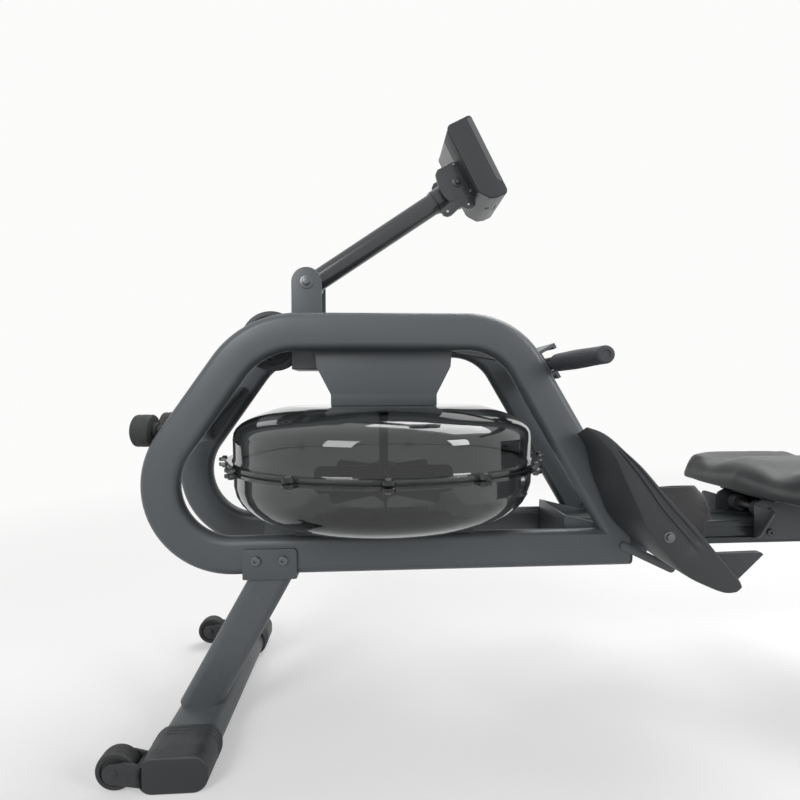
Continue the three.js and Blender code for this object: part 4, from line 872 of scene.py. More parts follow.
def buildPedal():
    rows = smoothRows([a + b for a, b in zip(pedal["outerSide"], pedal["innerSide"])], 3)
    wide = pedal["outer"] - pedal["inner"]
    sections = []
    for s, (aO, tO, bO, aI, tI, bI) in enumerate(rows):
        share = s / (len(rows) - 1)
        tray = pedal["tray"] * sCurve(share, 0.10, 0.20) * (1 - 0.7 * sCurve(share, 0.93, 1))
        deep = pedal["grooveDeep"] * sCurve(aO, 45, 75) * (1 - sCurve(aO, 222, 246))

        def at(y, level, push=0.0, sink=0.0):  # level 0 at the underside, 1 at the top
            t = (pedal["outer"] - y) / wide
            top, low = tO + (tI - tO) * t, bO + (bI - bO) * t
            return (aO + (aI - aO) * t, y - push, low + (top - low) * level - sink)

        tall = max(tO - bO, 2)
        soft = min(4 / tall, 0.25)
        ring = [at(187, 0), at(190, soft * 0.3), at(191, soft)]
        for low, high in pedal["grooves"]:
            run = low - high
            ring += [at(191, 1 - low), at(191, 1 - low + run * 0.22, deep), at(191, 1 - high - run * 0.22, deep),
                     at(191, 1 - high)]
        inside = min(3 / max(tI - bI, 2), 0.25)
        ring += [at(191, 1 - soft * 0.5), at(189.6, 1), at(187, 1), at(186, 1, 0, 0.8), at(185.6, 1, 0, tray),
                 at(143, 1, 0, tray + 0.6), at(100.4, 1, 0, tray), at(100, 1, 0, 0.8), at(99, 1), at(96.4, 1),
                 at(95, 1 - inside * 0.5), at(95, inside), at(96.2, inside * 0.3), at(99, 0), at(143, 0, 0, 1.5)]
        sections.append(ring)
    piece = loftSections("rightPedalShell", sections)
    surface = [(a + (c - a) * 0.5, (b + d) / 2) for a, b, _, c, d, _ in rows]
    rib = loftSections("rib", [[(-1.6, y, 0), (-1.0, y, 1.1), (1.0, y, 1.1), (1.6, y, 0), (1.6, y, -1.5),
                                (-1.6, y, -1.5)] for y in (105, 181)])
    ribs = []
    for i in range(pedal["ribs"]):
        a = pedal["firstRib"] + pedal["ribStep"] * i
        place = Vector((a, 0, between(surface, a) - 7.2)) * mm
        ribs.append(copyPiece(rib, "ribCopy", Matrix.Translation(place)))
    bpy.data.objects.remove(rib)
    for y in (125, 143, 161):  # long treads
        across = ((-1.4, 7.6), (-0.8, 6.5), (0.8, 6.5), (1.4, 7.6))
        ribs.append(loftSections("tread", [[(a, y + step, between(surface, a) - deep) for step, deep in across]
                                           for a in range(54, 251, 14)]))
    return joinPieces("rightPedalShell", [piece] + ribs)


def buildHeelCup():
    cup = heelCup
    start, end, tall = cup["start"], cup["end"], cup["tall"]
    outline = [(start, cup["base"]), (end, cup["base"]), (end, tall), (end - 4, tall), (262, 0), (start, -2)]
    sections = [[(a, y, n) for a, n in outline] for y in (cup["inner"], cup["outer"])]
    piece = loftSections("rightHeelCup", sections)
    inside = loftSections("inside", [[(a, y, n) for a, n in ((start - 8, -2.4), (end - cup["wall"], -2.4),
                                                            (end - cup["wall"], tall + 20), (start - 8, tall + 20))]
                                     for y in (cup["inner"] + cup["wall"], cup["outer"] - cup["wall"])])
    cutAway(piece, inside)
    rows = ((cup["inner"] - 2, cup["innerTall"]), (cup["inner"] + cup["wall"], cup["innerTall"]),
            (cup["outer"] - cup["wall"], tall + 2))
    above = loftSections("above", [[(start - 8, y, n), (end + 8, y, n), (end + 8, y, tall + 30),
                                    (start - 8, y, tall + 30)] for y, n in rows])
    cutAway(piece, above)
    return softEdges(piece, 1.2, 3, 40)


def buildFootBand():
    band = footBand
    sections = []
    steps = 28
    for k in range(steps + 1):
        angle = math.pi * k / steps
        lift = band["rise"] * abs(math.sin(angle)) ** 0.42
        side = math.copysign(abs(math.cos(angle)) ** 0.45, math.cos(angle))
        y = band["middle"] + band["half"] * side
        aside = band["slant"] * (1 - side) / 2
        front = between(band["front"], lift) + aside
        rear = between(band["rear"], lift) + aside * (1 + 1.1 * lift / band["rise"])
        out = Vector((0, math.cos(angle), max(math.sin(angle), 0.0)))

        def edge(a, offset):
            return (a, y + out.y * offset, lift + out.z * offset)

        hem, thin = band["hem"] / 2, band["thick"] / 2
        sections.append([edge(front, hem * 0.4), edge(front + 1, hem), edge(front + 7, hem), edge(front + 8.5, thin),
                         edge((front + rear) / 2, thin + 0.4), edge(rear - 8.5, thin), edge(rear - 7, hem),
                         edge(rear - 1, hem), edge(rear, hem * 0.4), edge(rear, -hem * 0.4), edge(rear - 2, -hem),
                         edge(front + 2, -hem), edge(front, -hem * 0.4)])
    return loftSections("rightFootBandCloth", sections, True)


def buildPedals():
    made = [buildPedal(), buildHeelCup(), buildFootBand(), hexBolt("rightPedalBolt", 5.4, 3.6, 8)]
    a, n = pedal["bolt"]
    outward(made[3], Vector((a, pedal["outer"] - 0.3, n)) * mm)
    for piece, (finishName, body, replaced, slot, smooth) in zip(made, (
            ("blackPlastic", "machine", "{}_pedal", "black_plastic", 30),
            ("blackPlastic", "{}_heel", "{}_heel_rest", "black_plastic", 30),
            ("webbingCloth", "machine", "{}_foot_band", "webbing", 40),
            ("darkBolt", "machine", None, "bright_steel", 30))):
        finishPair(movePiece(piece, pedalFrame), finishName, body, replaced, smooth)


buildPedals()

strut = {"low": (461, -174), "high": (384, -137), "half": 7, "y": (91.4, 94.6), "bar": (420, -98)}


def capsule(start, end, half, steps=8):  # outline of a bar with round ends
    run = Vector(end) - Vector(start)
    lean = math.degrees(math.atan2(run.y, run.x))
    return (arcPoints(*end, half, lean - 90, lean + 90, steps) + arcPoints(*start, half, lean + 90, lean + 270, steps))


def buildStruts():
    near, far = strut["y"]
    parts = [softEdges(plateXZ("brace", capsule(strut["low"], strut["high"], strut["half"]), near, far), 0.6)]
    for x, z in (strut["low"], strut["high"]):
        parts.append(onAxis(hexBolt("braceBolt", 4.6, 3.4, 6.2), "Y", spot(x, near - 3.0, z)))
    finishPair(joinPieces("rightPedalBrace", parts), "framePaint", "machine", "{}_pedal_strut")
    x, z = strut["bar"]
    rod = discStack("pedalCrossBar", [(-189, 9.6), (-188, 11), (-62, 11), (-61.4, 10.4), (61.4, 10.4), (62, 11),
                                      (188, 11), (189, 9.6)], 36)
    finishPiece(onAxis(rod, "Y", spot(x, 0, z)), "satinSteel", "machine", ["pedal_bar"], 30)


buildStruts()
print("pedals, heel rests and foot bands made")

# ---- console arm, clamp and console: in the console's own frame, from its pivot ----
arm = {"mast": (-127.3, 297), "lean": 33.9, "long": 306, "radius": 18, "sleeve": 22.6, "sleeveHalf": 30.5,
       "collar": 14.2, "collarHalf": 23.5, "cuffStart": 262, "cuffRadius": 20.4}
console = {"tilt": 27, "back": 16.2, "front": 61.5, "low": -59, "high": 82, "half": 55, "cheek": 3.2,
           "clamp": [(-31.6, 10), (-27, 29), (-20, 34.5), (8, 35), (16, 32), (19, 12), (18.6, -28.5), (-2, -26.5),
                     (-24, -23), (-30, -13)], "clampInner": 24.2, "clampOuter": 28, "hookReach": (-27.6, -21),
           "hook": [(-46, -30), (-45, -38), (-39, -43), (-32, -43.5), (-17, -39), (-9, -38.5), (-3, -46), (4, -49.5),
                    (12, -47), (17.5, -33), (14, -22), (-8, -24), (-26, -23)]}
armLean, tilt = math.radians(arm["lean"]), math.radians(console["tilt"])
consoleAt = spot(arm["mast"][0] + arm["long"] * math.cos(armLean), 0, arm["mast"][1] + arm["long"] * math.sin(armLean))
armFrame = basisAt(spot(arm["mast"][0], 0, arm["mast"][1]), (math.cos(armLean), 0, math.sin(armLean)), (0, 1, 0),
                   (-math.sin(armLean), 0, math.cos(armLean)))
consoleFrame = basisAt(consoleAt, (math.cos(tilt), 0, math.sin(tilt)), (0, 1, 0),
                       (-math.sin(tilt), 0, math.cos(tilt)))


def slabUW(name, points, y0, y1):  # an outline in a local X-Z plane, thick along Y, in millimetres
    piece = drawnPlate(name, points, y1 - y0)
    return movePiece(piece, basisAt(Vector((0, y1, 0)) * mm, (1, 0, 0), (0, 0, 1), (0, -1, 0)))


def buildArm():
    radius, long, start, cuff = (arm[k] for k in ("radius", "long", "cuffStart", "cuffRadius"))
    tube = discStack("consoleArmTube", [(arm["sleeve"] * 0.6, radius), (start, radius), (start + 0.8, cuff - 0.8),
                                        (start + 2, cuff), (long - 19, cuff), (long - 17, cuff - 1.4),
                                        (long - 12, 14)], 56)
    seam = discStack("seam", [(start - 3, radius + 0.05), (start - 2.4, radius + 0.9), (start - 0.6, radius + 0.9),
                              (start, radius + 0.05)], 56)
    half = arm["sleeveHalf"]
    sleeve = discStack("sleeve", barrel(-half, half, arm["sleeve"], 1.2, 1.2), 48)
    half = arm["collarHalf"]
    collar = discStack("collar", barrel(-half, half, arm["collar"], 1, 1), 40)
    piece = joinPieces("consoleArmTube", [onAxis(tube, "X", (0, 0, 0)), onAxis(sleeve, "Y", (0, 0, 0)),
                                          onAxis(collar, "Y", (long * mm, 0, 0)), onAxis(seam, "X", (0, 0, 0))])
    finishPiece(movePiece(piece, armFrame), "armPaint", "arm", ["console_arm"], 32)


def buildMastBolt(name, centre, reach, body, replaced, finishName, head=8.6):
    shank = onAxis(discStack(name, [(-reach, 5.9), (reach, 5.9)], 24), "Y", centre)
    across = Vector((0, reach * mm, 0))
    cap = outward(socketScrew("cap", head, 6), centre + across)
    nut = outward(hexBolt("nut", head * 0.82, 5, head), centre - across, -1)
    dome = discStack("dome", [(0, head + 2.4), (1.2, head + 2.4), (1.6, head + 1.6)], 32)
    piece = joinPieces(name, [shank, cap, nut, outward(dome, centre - across, -1)])
    finishPiece(piece, finishName, body, [replaced], 30)


def buildConsole():
    low, high, back, front, half = (console[k] for k in ("low", "high", "back", "front", "half"))

    def sideOutline(inset):  # the housing seen from the side, its lower rear corner well rounded
        return roundCorners([(back + inset, high - inset), (back + inset, low + 22), (back + 13, low + 4),
                             (back + 26, low + inset), (front - 3, low + inset), (front - inset, low + 6),
                             (front - inset, high - inset)], [8, 16, 12, 8, 4, 5, 6], 6)

    def finished(piece, finishName, replaced=()):
        finishPiece(movePiece(piece, consoleFrame), finishName, "console", replaced, 28)

    body = slabUW("consoleHousing", sideOutline(0.2), -half + console["cheek"], half - console["cheek"])
    for x0, x1, y0, y1 in ((30, 37, -14, -6), (47, 50, -12, 10)):  # a socket's hole and a plug's slot
        cutAway(body, smallBlock("cutter", (x0, y0, low - 6), (x1, y1, low + 7)))
    finished(body, "coverGrey", ["console_back"])

    cheeks, highlightStrips = [], []
    for sign in (-1, 1):
        cheek = slabUW("cheek", sideOutline(-0.1), *span(sign, half - console["cheek"], half))
        port = discStack("port", [(-1, 2.6), (0.25, 2.6), (0.6, 2.0)], 20)
        rim = sign * half * mm
        bevelPicked(cheek, "EDGE", lambda c, d: abs(d.y) < 0.1 and abs(c.y - rim) < 1e-5, 1.8, 3)
        cheeks += [cheek, outward(port, Vector((39, sign * (half - 0.3), -4)) * mm, sign)]
        # each cheek gets a pale strip near its front edge: a painted highlight, not a part of the housing
        outline = roundCorners([(front - 8.6, high - 4), (front - 8.6, low + 30), (front - 6.6, low + 22),
                                (front - 1.6, low + 20), (front - 1.4, high - 4)], [0, 4, 3, 3, 0], 4)
        highlightStrip = slabUW("highlightStrip", outline, *span(sign, half - 1.6, half + 0.05))  # a pale strip along the cheek's front: painted highlight of the housing's rounded front edge
        highlightStrips.append(softEdges(highlightStrip, 0.5))
    finished(joinPieces("consoleCheeks", cheeks), "blackPlastic")
    finished(joinPieces("consoleHighlightStrips", highlightStrips), "paintedHighlightGrey")
    # a black sheet over the near part of the housing's back: painted shade, standing in for the shadow on that face
    backShadeSheet = smallBlock("consoleBackCover", (back - 1.2, -half + 3.5, low + 23), (back + 0.4, -18, high - 7))
    finished(softEdges(backShadeSheet, 0.6), "blackPlastic")

    face = smallBlock("consoleFace", (front - 4, -half + 2.2, low + 3), (front + 0.3, half - 2.2, high - 2))
    bevelPicked(face, "EDGE", lambda c, d: abs(d.x) > 0.9, 9, 5)
    bevelPicked(face, "FACE", lambda c, n: n.x > 0.9, 0.8, 2)
    window = smallBlock("window", (front - 1.9, -43, low + 52), (front + 3, 43, high - 12))
    wells = [onAxis(discStack("well", [(-6, 8.5), (6, 8.5)], 28), "X", Vector((front, y, low + 28.4)) * mm)
             for y in (-32, 0, 32)]
    finished(cutAway(face, softEdges(window, 4, 4), *wells), "blackPlastic", ["console_front"])

    glass = smallBlock("consoleGlass", (front - 1.5, -42.6, low + 52.4), (front + 0.1, 42.6, high - 12.4))
    bevelPicked(glass, "EDGE", lambda c, d: abs(d.x) > 0.9, 3.6, 4)
    finished(softEdges(glass, 0.3, 2), "screenGloss", ["console_lens"])

    for name, y in (("left", -32), ("middle", 0), ("right", 32)):
        key = discStack(f"{name}Key", [(-3.5, 7.8), (1.0, 7.8), (1.9, 7.2), (2.2, 6.0), (1.7, 4.5), (1.4, 0.8)], 32)
        onAxis(key, "X", Vector((front - 0.3, y, low + 28.4)) * mm)
        movePiece(key, consoleFrame)
        finishPiece(key, "softRubber", f"{name}_button", [f"{name}_console_button"], 30)


def buildClamp():
    parts = []
    inner, outer = console["clampInner"], console["clampOuter"]
    outline = roundCorners(console["clamp"], [8, 6, 5, 3, 3, 2, 4, 6, 6, 8], 4)
    for sign in (-1, 1):
        parts.append(softEdges(slabUW("clampPlate", outline, *span(sign, inner, outer)), 0.8, 3, 50))
        disc = discStack("disc", [(0, 6.6), (0.5, 6.6), (0.9, 5.8)], 30)
        parts.append(outward(disc, Vector((0, sign * outer, 3.5)) * mm, sign))
        dot = discStack("dot", [(0, 2.2), (0.7, 2.0)], 16)
        parts.append(outward(dot, Vector((-11.5, sign * outer, -19)) * mm, sign))
    bridge = smallBlock("bridge", (12.6, -inner - 1, -33), (console["back"] + 0.3, inner + 1, 32))
    hook = roundCorners(console["hook"], [3, 4, 4, 3, 4, 4, 4, 4, 4, 3, 2, 3, 3], 3)
    bracket = slabUW("lowerBracket", hook, *console["hookReach"])
    parts += [softEdges(bridge, 0.6), softEdges(bracket, 0.8, 2, 50)]
    piece = movePiece(joinPieces("consoleClamp", parts), consoleFrame)
    finishPiece(piece, "armPaint", "console", (), 30)
    places = ((-37, -28.4, -36, 2.4), (0.5, -28.4, -41, 2.1), (15, -28.8, -22, 2.2), (8, -28.8, 30, 1.9))
    bolts = [outward(socketScrew("clampBolt", size, 2.6), Vector((u, y + 0.8, w)) * mm, -1)
             for u, y, w, size in places]
    screws = movePiece(joinPieces("clampBolts", bolts), consoleFrame)
    finishPiece(screws, "satinSteel", "console", (), 30)


buildArm()
buildConsole()
buildClamp()
buildMastBolt("mastPivotScrew", spot(arm["mast"][0], 0, arm["mast"][1]), 35.4, "machine", "mast_pivot_bolt",
              "darkBolt")
buildMastBolt("consolePivotScrew", consoleAt, 28.2, "arm", "console_pivot_bolt", "blackPaint", 4.6)
print("console and arm made")

# ---- mast, hanger, cross plate and standing feet ----
mast = {"x": -127.3, "pivot": 297, "half": 25, "inner": 31, "outer": 35, "foot": 156, "floor": 152,
        "wing": (-152.3, -114.3, 194, 224), "inside": 60.7}
hanger = {"base": 91.3, "rise": 131, "lowHalf": 86, "highHalf": 111, "stepHalf": 109, "shoulder": 63,
          "thick": 4, "inside": 60.7}
crossPlate = {"points": [(-251, 122.6), (-315.3, 51), (-311.9, 29.7), (-315.9, 29.7), (-319.3, 49), (-319.3, 66.5),
                         (-255, 124.6)], "inside": 60.7}
standFoot = {"side": 50, "rise": 53.5, "face": -398,
             "profile": [(0, 9), (42.3, 9), (42.3, 12), (44, 12.6), (48.2, 13), (48.4, 21), (49.6, 24.4), (52, 26),
                         (54.8, 25.2), (57, 25.9), (62, 26), (67, 25.9), (69.2, 25.2), (72, 26), (75.5, 25.2),
                         (77.6, 22.4), (78.2, 18), (78.2, 12), (76.8, 10.5), (76.6, 3)]}


def buildMast():
    x, half, inner, outer = (mast[k] for k in ("x", "half", "inner", "outer"))
    outline = [(x - half, mast["floor"]), (x + half, mast["floor"])] + arcPoints(x, mast["pivot"], half, 0, 180, 28)
    x0, x1, z0, z1 = mast["wing"]
    parts = []
    for sign in (-1, 1):
        parts.append(softEdges(plateXZ("ear", outline, *span(sign, inner, outer)), 0.8, 3, 60))
        low, high = span(sign, inner + 0.5, mast["inside"])
        parts.append(softEdges(block("wing", (x0, low, z0), (x1, high, z1)), 0.6))
        bead = loftSections("weldBead", [[(x0 + 1 + u * 2.2, sign * (outer + v * 2.2), z)
                                          for u, v in ((0, -0.3), (1, 0), (0.8, 0.7), (0, 1), (-0.8, 0.7), (-1, 0))]
                                         for z in range(z0, z1 + 1, 3)])
        parts.append(onTank(bead))
    plate = block("floorPlate", (x - half, -outer, mast["floor"]), (x + half, outer, mast["foot"]))
    piece = joinPieces("mastBracketPlates", parts + [softEdges(plate, 0.8)])
    finishPiece(piece, "framePaint", "machine", ["mast_bracket"], 30)


def buildHanger():
    base, rise, low, high, side, thick = (
        hanger[k] for k in ("base", "rise", "lowHalf", "highHalf", "inside", "thick"))
    shoulder = base + hanger["shoulder"]
    right = [(low, base), (low, base + rise * 0.14), (hanger["stepHalf"], shoulder), (high, shoulder + rise * 0.17),
             (high, base + rise)]
    left = [(-x, z) for x, z in right]
    rounded = roundCorners(left[:1] + right + left[:0:-1], [0, 0, 9, 6, 5, 0, 0, 5, 6, 9], 5)
    parts = [softEdges(plateXZ("cheek", rounded, *span(sign, side - thick, side)), 0.7, 2, 60) for sign in (-1, 1)]
    floor = block("floorSheet", (-low, -side + 0.4, base), (low, side - 0.4, base + thick))
    cutAway(floor, onAxis(discStack("opening", [(-10, 8.6), (10, 8.6)], 40), "Z", spot(0, 0, base + 2)))
    parts.append(softEdges(floor, 1.4, 3, 60))
    for x, y in ((-70, -36), (70, -36), (-70, 36), (70, 36)):
        parts.append(onAxis(hexBolt("floorBolt", 6, 4.6, 10), "Z", spot(x, y, base + thick)))
    for x in (-low, low - 4):
        parts.append(softEdges(block("rib", (x, -side + 1, base), (x + 4, side - 1, base + 16)), 1))
    piece = joinPieces("tankHangerSheet", parts)
    finishPiece(piece, "framePaint", "machine", ["tank_hanger"], 30)


def buildCrossPlate():
    inside = crossPlate["inside"]
    sheet = plateXZ("frontCrossSheet", roundCorners(crossPlate["points"], [1, 5, 1, 1, 6, 6, 1], 4), -inside, inside)
    softEdges(sheet, 0.6, 2, 50)
    finishPiece(sheet, "framePaint", "machine", ["front_cross_plate"], 30)
    puck = discStack("rightStandingPuck", standFoot["profile"], 56)
    movePiece(puck, basisAt(spot(standFoot["face"] + 78.2, standFoot["side"], standFoot["rise"]), (0, -1, 0), (0, 0, 1),
                            (-1, 0, 0)))
    finishPair(puck, "softRubber", "machine", "{}_standing_foot", 34)


buildMast()
buildHanger()
buildCrossPlate()
print("mast, hanger and front plate made")

# ---- loop end caps, tank bearers, seal and filler plug ----
loopCap = {"x": (395.3, 399.4), "side": 76, "z": (-170.4, -112), "half": 14.8}
bearer = {"x": 120, "half": 20, "reach": 90.6, "z": (-110.6, -85.4)}
sealRing = {"inner": 246.6, "outer": 259.6, "half": 1.1}
plug = {"side": 115, "profile": [(83.4, 12.4), (83.6, 13.4), (91.4, 13.4), (91.4, 17.2), (92.2, 18), (97, 18),
                                 (98.6, 17.2), (99.2, 15.4), (98.4, 12.6), (98.2, 1)]}


def buildSmallFrameParts():
    (z0, z1), half, side = loopCap["z"], loopCap["half"], loopCap["side"]
    outline = roundCorners([(side - half, z0), (side + half, z0), (side + half, z1), (side - half, z1)], 13, 8)
    cap = softEdges(plateYZ("rightLoopEndCap", outline, *loopCap["x"]), 1.4, 3, 50)
    finishPair(cap, "blackPlastic", "machine", "{}_loop_cap", 30)
    reach, half, (low, high) = bearer["reach"], bearer["half"], bearer["z"]
    for name, x in (("front", -bearer["x"]), ("rear", bearer["x"])):
        bar = softEdges(block(f"{name}Bearer", (x - half, -reach, low), (x + half, reach, high)), 2.2, 3)
        cutAway(bar, *(block("groove", (x - 12, y - 1.2, -90), (x + 12, y + 1.2, -84)) for y in (-84, 84)))
        finishPiece(bar, "softRubber", "machine", [f"{name}_tank_bearer"], 30)
    inner, outer, half = sealRing["inner"], sealRing["outer"], sealRing["half"]
    ring = discStack("tankSealRing", barrel(-half, half, outer, 0.6, 0.4), 112)
    cutAway(ring, discStack("inside", [(-3, inner), (3, inner)], 112))
    finishPiece(onTank(ring), "softRubber", "machine", ["tank_seal"], 30)
    cap = discStack("fillerPlugCap", plug["profile"], 48)
    notches = [movePiece(discStack("notch", [(92.6, 1.6), (101, 1.6)], 14), ringPlace(18.6, 2 * math.pi * i / 12))
               for i in range(12)]
    grip = softEdges(smallBlock("plugGrip", (-11, -1.8, 97.4), (11, 1.8, 99.25)), 0.6, 2)
    cap = joinPieces("fillerPlugCap", [cutAway(cap, *notches), grip])
    movePiece(cap, Matrix.Translation(spot(0, plug["side"], 0)))
    finishPiece(cap, "blackPlastic", "plug", ["filler_plug"], 30)


buildSmallFrameParts()
print("caps, bearers, seal and plug made")

# ---- front legs with their foot, caps and transport wheels ----
legs = {"top": -178.9, "lean": 29.4, "tall": 60, "wide": 30, "side": 76, "plate": -174.7, "saddle": (-220, -137),
        "saddleTop": -128, "cheek": 4, "outer": 91.3, "inner": 60.7, "bolts": (-199.3, -157.8), "boltZ": -145,
        "foot": (-284.5, -390.5), "footSize": (84, 41), "footHalf": 183.7}
frontCap = {"inner": 135, "outer": 200, "size": (92, 49), "fork": (171.4, 196), "forkThick": 4,
            "wheel": (-360.5, -385), "wheelSpan": (175.7, 195.7),
            "tyre": [(0, 6.6), (0, 9), (2.6, 9.4), (2.6, 18.4), (0.4, 19), (0.4, 23.6), (2.2, 25.6), (4, 26), (9.4, 26),
                     (9.8, 25.3), (10.2, 25.3), (10.6, 26), (16, 26), (17.8, 25.6), (19.6, 23.6), (19.6, 19),
                     (17.4, 18.4), (17.4, 9.4), (20, 9), (20, 6.6)]}


def stadium(x, z, wide, tall, radius=None, steps=8):  # an outline with round ends
    r = radius or min(wide, tall) / 2 - 0.3
    a, b = wide / 2, tall / 2
    return roundCorners([(x - a, z - b), (x + a, z - b), (x + a, z + b), (x - a, z + b)], r, steps)


def tubePiece(name, wide, tall, start, direction, long):  # a flat-oval tube from a place along a direction in X-Z
    run = Vector(direction).normalized()
    piece = drawnPlate(name, stadium(0, 0, wide, tall), long)
    return movePiece(piece, basisAt(start, Vector((0, 1, 0)).cross(run), (0, 1, 0), run))


def endRibs(x, z, wide, tall, radius, places):  # raised rings round the mouth of a slip-on end cap
    outline = stadium(x, z + 0.4, wide + 1.6, tall - 0.8, radius)
    return [softEdges(plateXZ("rib", outline, y, y + 2.6), 0.8, 2, 50) for y in places]


def buildFrontLegs():
    top, plateZ, inner, outer, cheek = (legs[k] for k in ("top", "plate", "inner", "outer", "cheek"))
    (x0, x1), saddleTop, low = legs["saddle"], legs["saddleTop"], legs["foot"][1] + 10
    lean = math.radians(legs["lean"])
    foot = plateXZ("foot", stadium(*legs["foot"], *legs["footSize"]), -legs["footHalf"], legs["footHalf"])
    parts = [softEdges(foot, 0.8, 2, 50)]
    for sign in (-1, 1):
        y = sign * legs["side"]
        leg = tubePiece("leg", legs["tall"], legs["wide"], spot(top - (plateZ - low) * math.tan(lean), y, low),
                        (math.sin(lean), 0, math.cos(lean)), (plateZ + 26 - low) / math.cos(lean))
        parts.append(cutAway(leg, block("above", (-300, y - 40, plateZ + 1.5), (-60, y + 40, plateZ + 90))))
        bead = plateXY("bead", stadium(top - 1, y, legs["tall"] / math.cos(lean) + 4.4, legs["wide"] + 3.4),
                       plateZ - 2.2, plateZ + 0.4)
        parts.append(softEdges(bead, 1.1, 2, 50))
        outline = roundCorners([(x0, plateZ), (x1, plateZ), (x1, saddleTop), (x0, saddleTop)], [3, 3, 5, 5], 4)
        near, far = span(sign, 57, 95)
        for sheet in (plateXZ("cheek", outline, *span(sign, outer, outer + cheek)),
                      plateXZ("cheek", outline, *span(sign, inner - cheek, inner)),
                      block("plate", (x0 + 0.2, near, plateZ), (x1 - 0.2, far, plateZ + cheek))):
            parts.append(softEdges(sheet, 0.8, 2, 50))
    piece = joinPieces("frontLegsSheet", parts)
    finishPiece(piece, "framePaint", "machine", ["front_leg_frame"], 32)
    bolts = [outward(socketScrew("saddleBolt", 7.4, 4.2), spot(x, outer + cheek - 0.2, legs["boltZ"]))
             for x in legs["bolts"]]
    finishPair(joinPieces("rightSaddleBolts", bolts), "darkBolt", "machine", None, 30)


def buildFrontCaps():
    (x, z), (wheelX, wheelZ), (wide, tall) = legs["foot"], frontCap["wheel"], frontCap["size"]
    near, outer, fork = frontCap["fork"][0], frontCap["outer"], frontCap["forkThick"]
    shell = plateXZ("rightFrontCap", stadium(x, z, wide, tall, 20), frontCap["inner"], outer)
    parts = [softEdges(shell, 2.6, 4, 50)] + endRibs(x, z, wide, tall, 20, (141, 147, 153))
    start = x - wide / 2 + 8
    outline = [(start, z - 15), (start, z + 14), (wheelX + 16, wheelZ + 15)]
    outline += arcPoints(wheelX, wheelZ, 14, 75, 275, 10)
    parts += [softEdges(plateXZ("fork", outline, y, y + fork), 1, 2, 50) for y in frontCap["fork"]]
    parts.append(softEdges(block("web", (start - 10, near, z - 14), (start, outer, z + 13)), 1.6, 2))
    piece = joinPieces("rightFrontCap", parts)
    axle = discStack("axle", [(near - 3, 5), (near - 2.4, 6), (outer + 0.6, 6), (outer + 1.2, 5)], 24)
    piece = joinPieces("rightFrontCap", [piece, onAxis(axle, "Y", spot(wheelX, 0, wheelZ))])
    finishPair(piece, "blackPlastic", "machine", "{}_front_cap", 32)
    tyre = discStack("rightTransportWheel", frontCap["tyre"], 48)
    onAxis(tyre, "Y", spot(wheelX, frontCap["wheelSpan"][0], wheelZ))
    finishPair(tyre, "softRubber", "{}_transport", "{}_transport_wheel", 32)


buildFrontLegs()
buildFrontCaps()
print("front legs, caps and wheels made")

# ---- handle bar and grips ----
handle = {"bar": (283, 160), "radius": 11, "half": 230, "eye": (252, 16.5, 4), "grip": (74, 236)}


def buildHandle():
    (x, z), long = handle["bar"], handle["half"]
    bar = discStack("handleTube", barrel(-long, long, handle["radius"], 0.8, 0.8), 40)
    front, wide, half = handle["eye"]
    frame = plateXY("eye", roundCorners([(front, -wide), (x, -wide), (x, wide), (front, wide)], [4, 0, 0, 4], 5),
                    z - half, z + half)
    slot = plateXY("eyeSlot", roundCorners([(front + 4, -12.8), (front + 8.5, -12.8), (front + 8.5, 12.8),
                                            (front + 4, 12.8)], 1.4, 4), z - half - 3, z + half + 3)
    frame = softEdges(cutAway(frame, slot), 0.9, 3, 50)
    piece = joinPieces("handleTube", [onAxis(bar, "Y", spot(x, 0, z)), frame])
    finishPiece(piece, "satinSteel", "handle", ["handle_bar"], 32)
    near, far = handle["grip"]
    profile = [(near, 11.4), (near, 13.2), (near + 0.9, 14.3), (near + 3, 14.5)]
    for k in range(26):  # shallow rings, on a grip that grows thinner outwards
        place = near + 6 + k * 5.6
        full = 14.5 - 2.3 * sCurve(place, near + 55, far - 6)
        profile += [(place, full), (place + 0.5, full - 0.35), (place + 0.9, full - 0.35), (place + 1.4, full)]
    profile += [(far - 3.2, 12.1), (far - 1.4, 11.5), (far - 0.3, 10), (far, 8), (far, 6.2), (far - 1.4, 5.4),
                (far - 1.6, 2)]
    grip = onAxis(discStack("rightGripFoam", profile, 48), "Y", spot(x, 0, z))
    finishPair(grip, "gripFoam", "handle", "{}_grip", 40)


buildHandle()
print("handle and grips made")

# ---- idler wheel, spool, straps and impeller ----
idler = {"at": (-190, 201.5), "rim": 50, "groove": 35, "wide": 34, "inside": 60.7}
spool = {"foot": 95.6, "drum": 24, "rim": 50, "middle": 170, "half": 13.4}
strap = {"wide": 25, "thick": 2, "radius": 36.3, "end": (0, 37.3, 170), "pull": (251.7, 160)}
paddle = {"radius": 122, "hub": 20.3, "shaft": 8, "low": -75.7, "bladeLow": -67.7, "bladeTall": 58, "thick": 5,
          "top": 189.8}


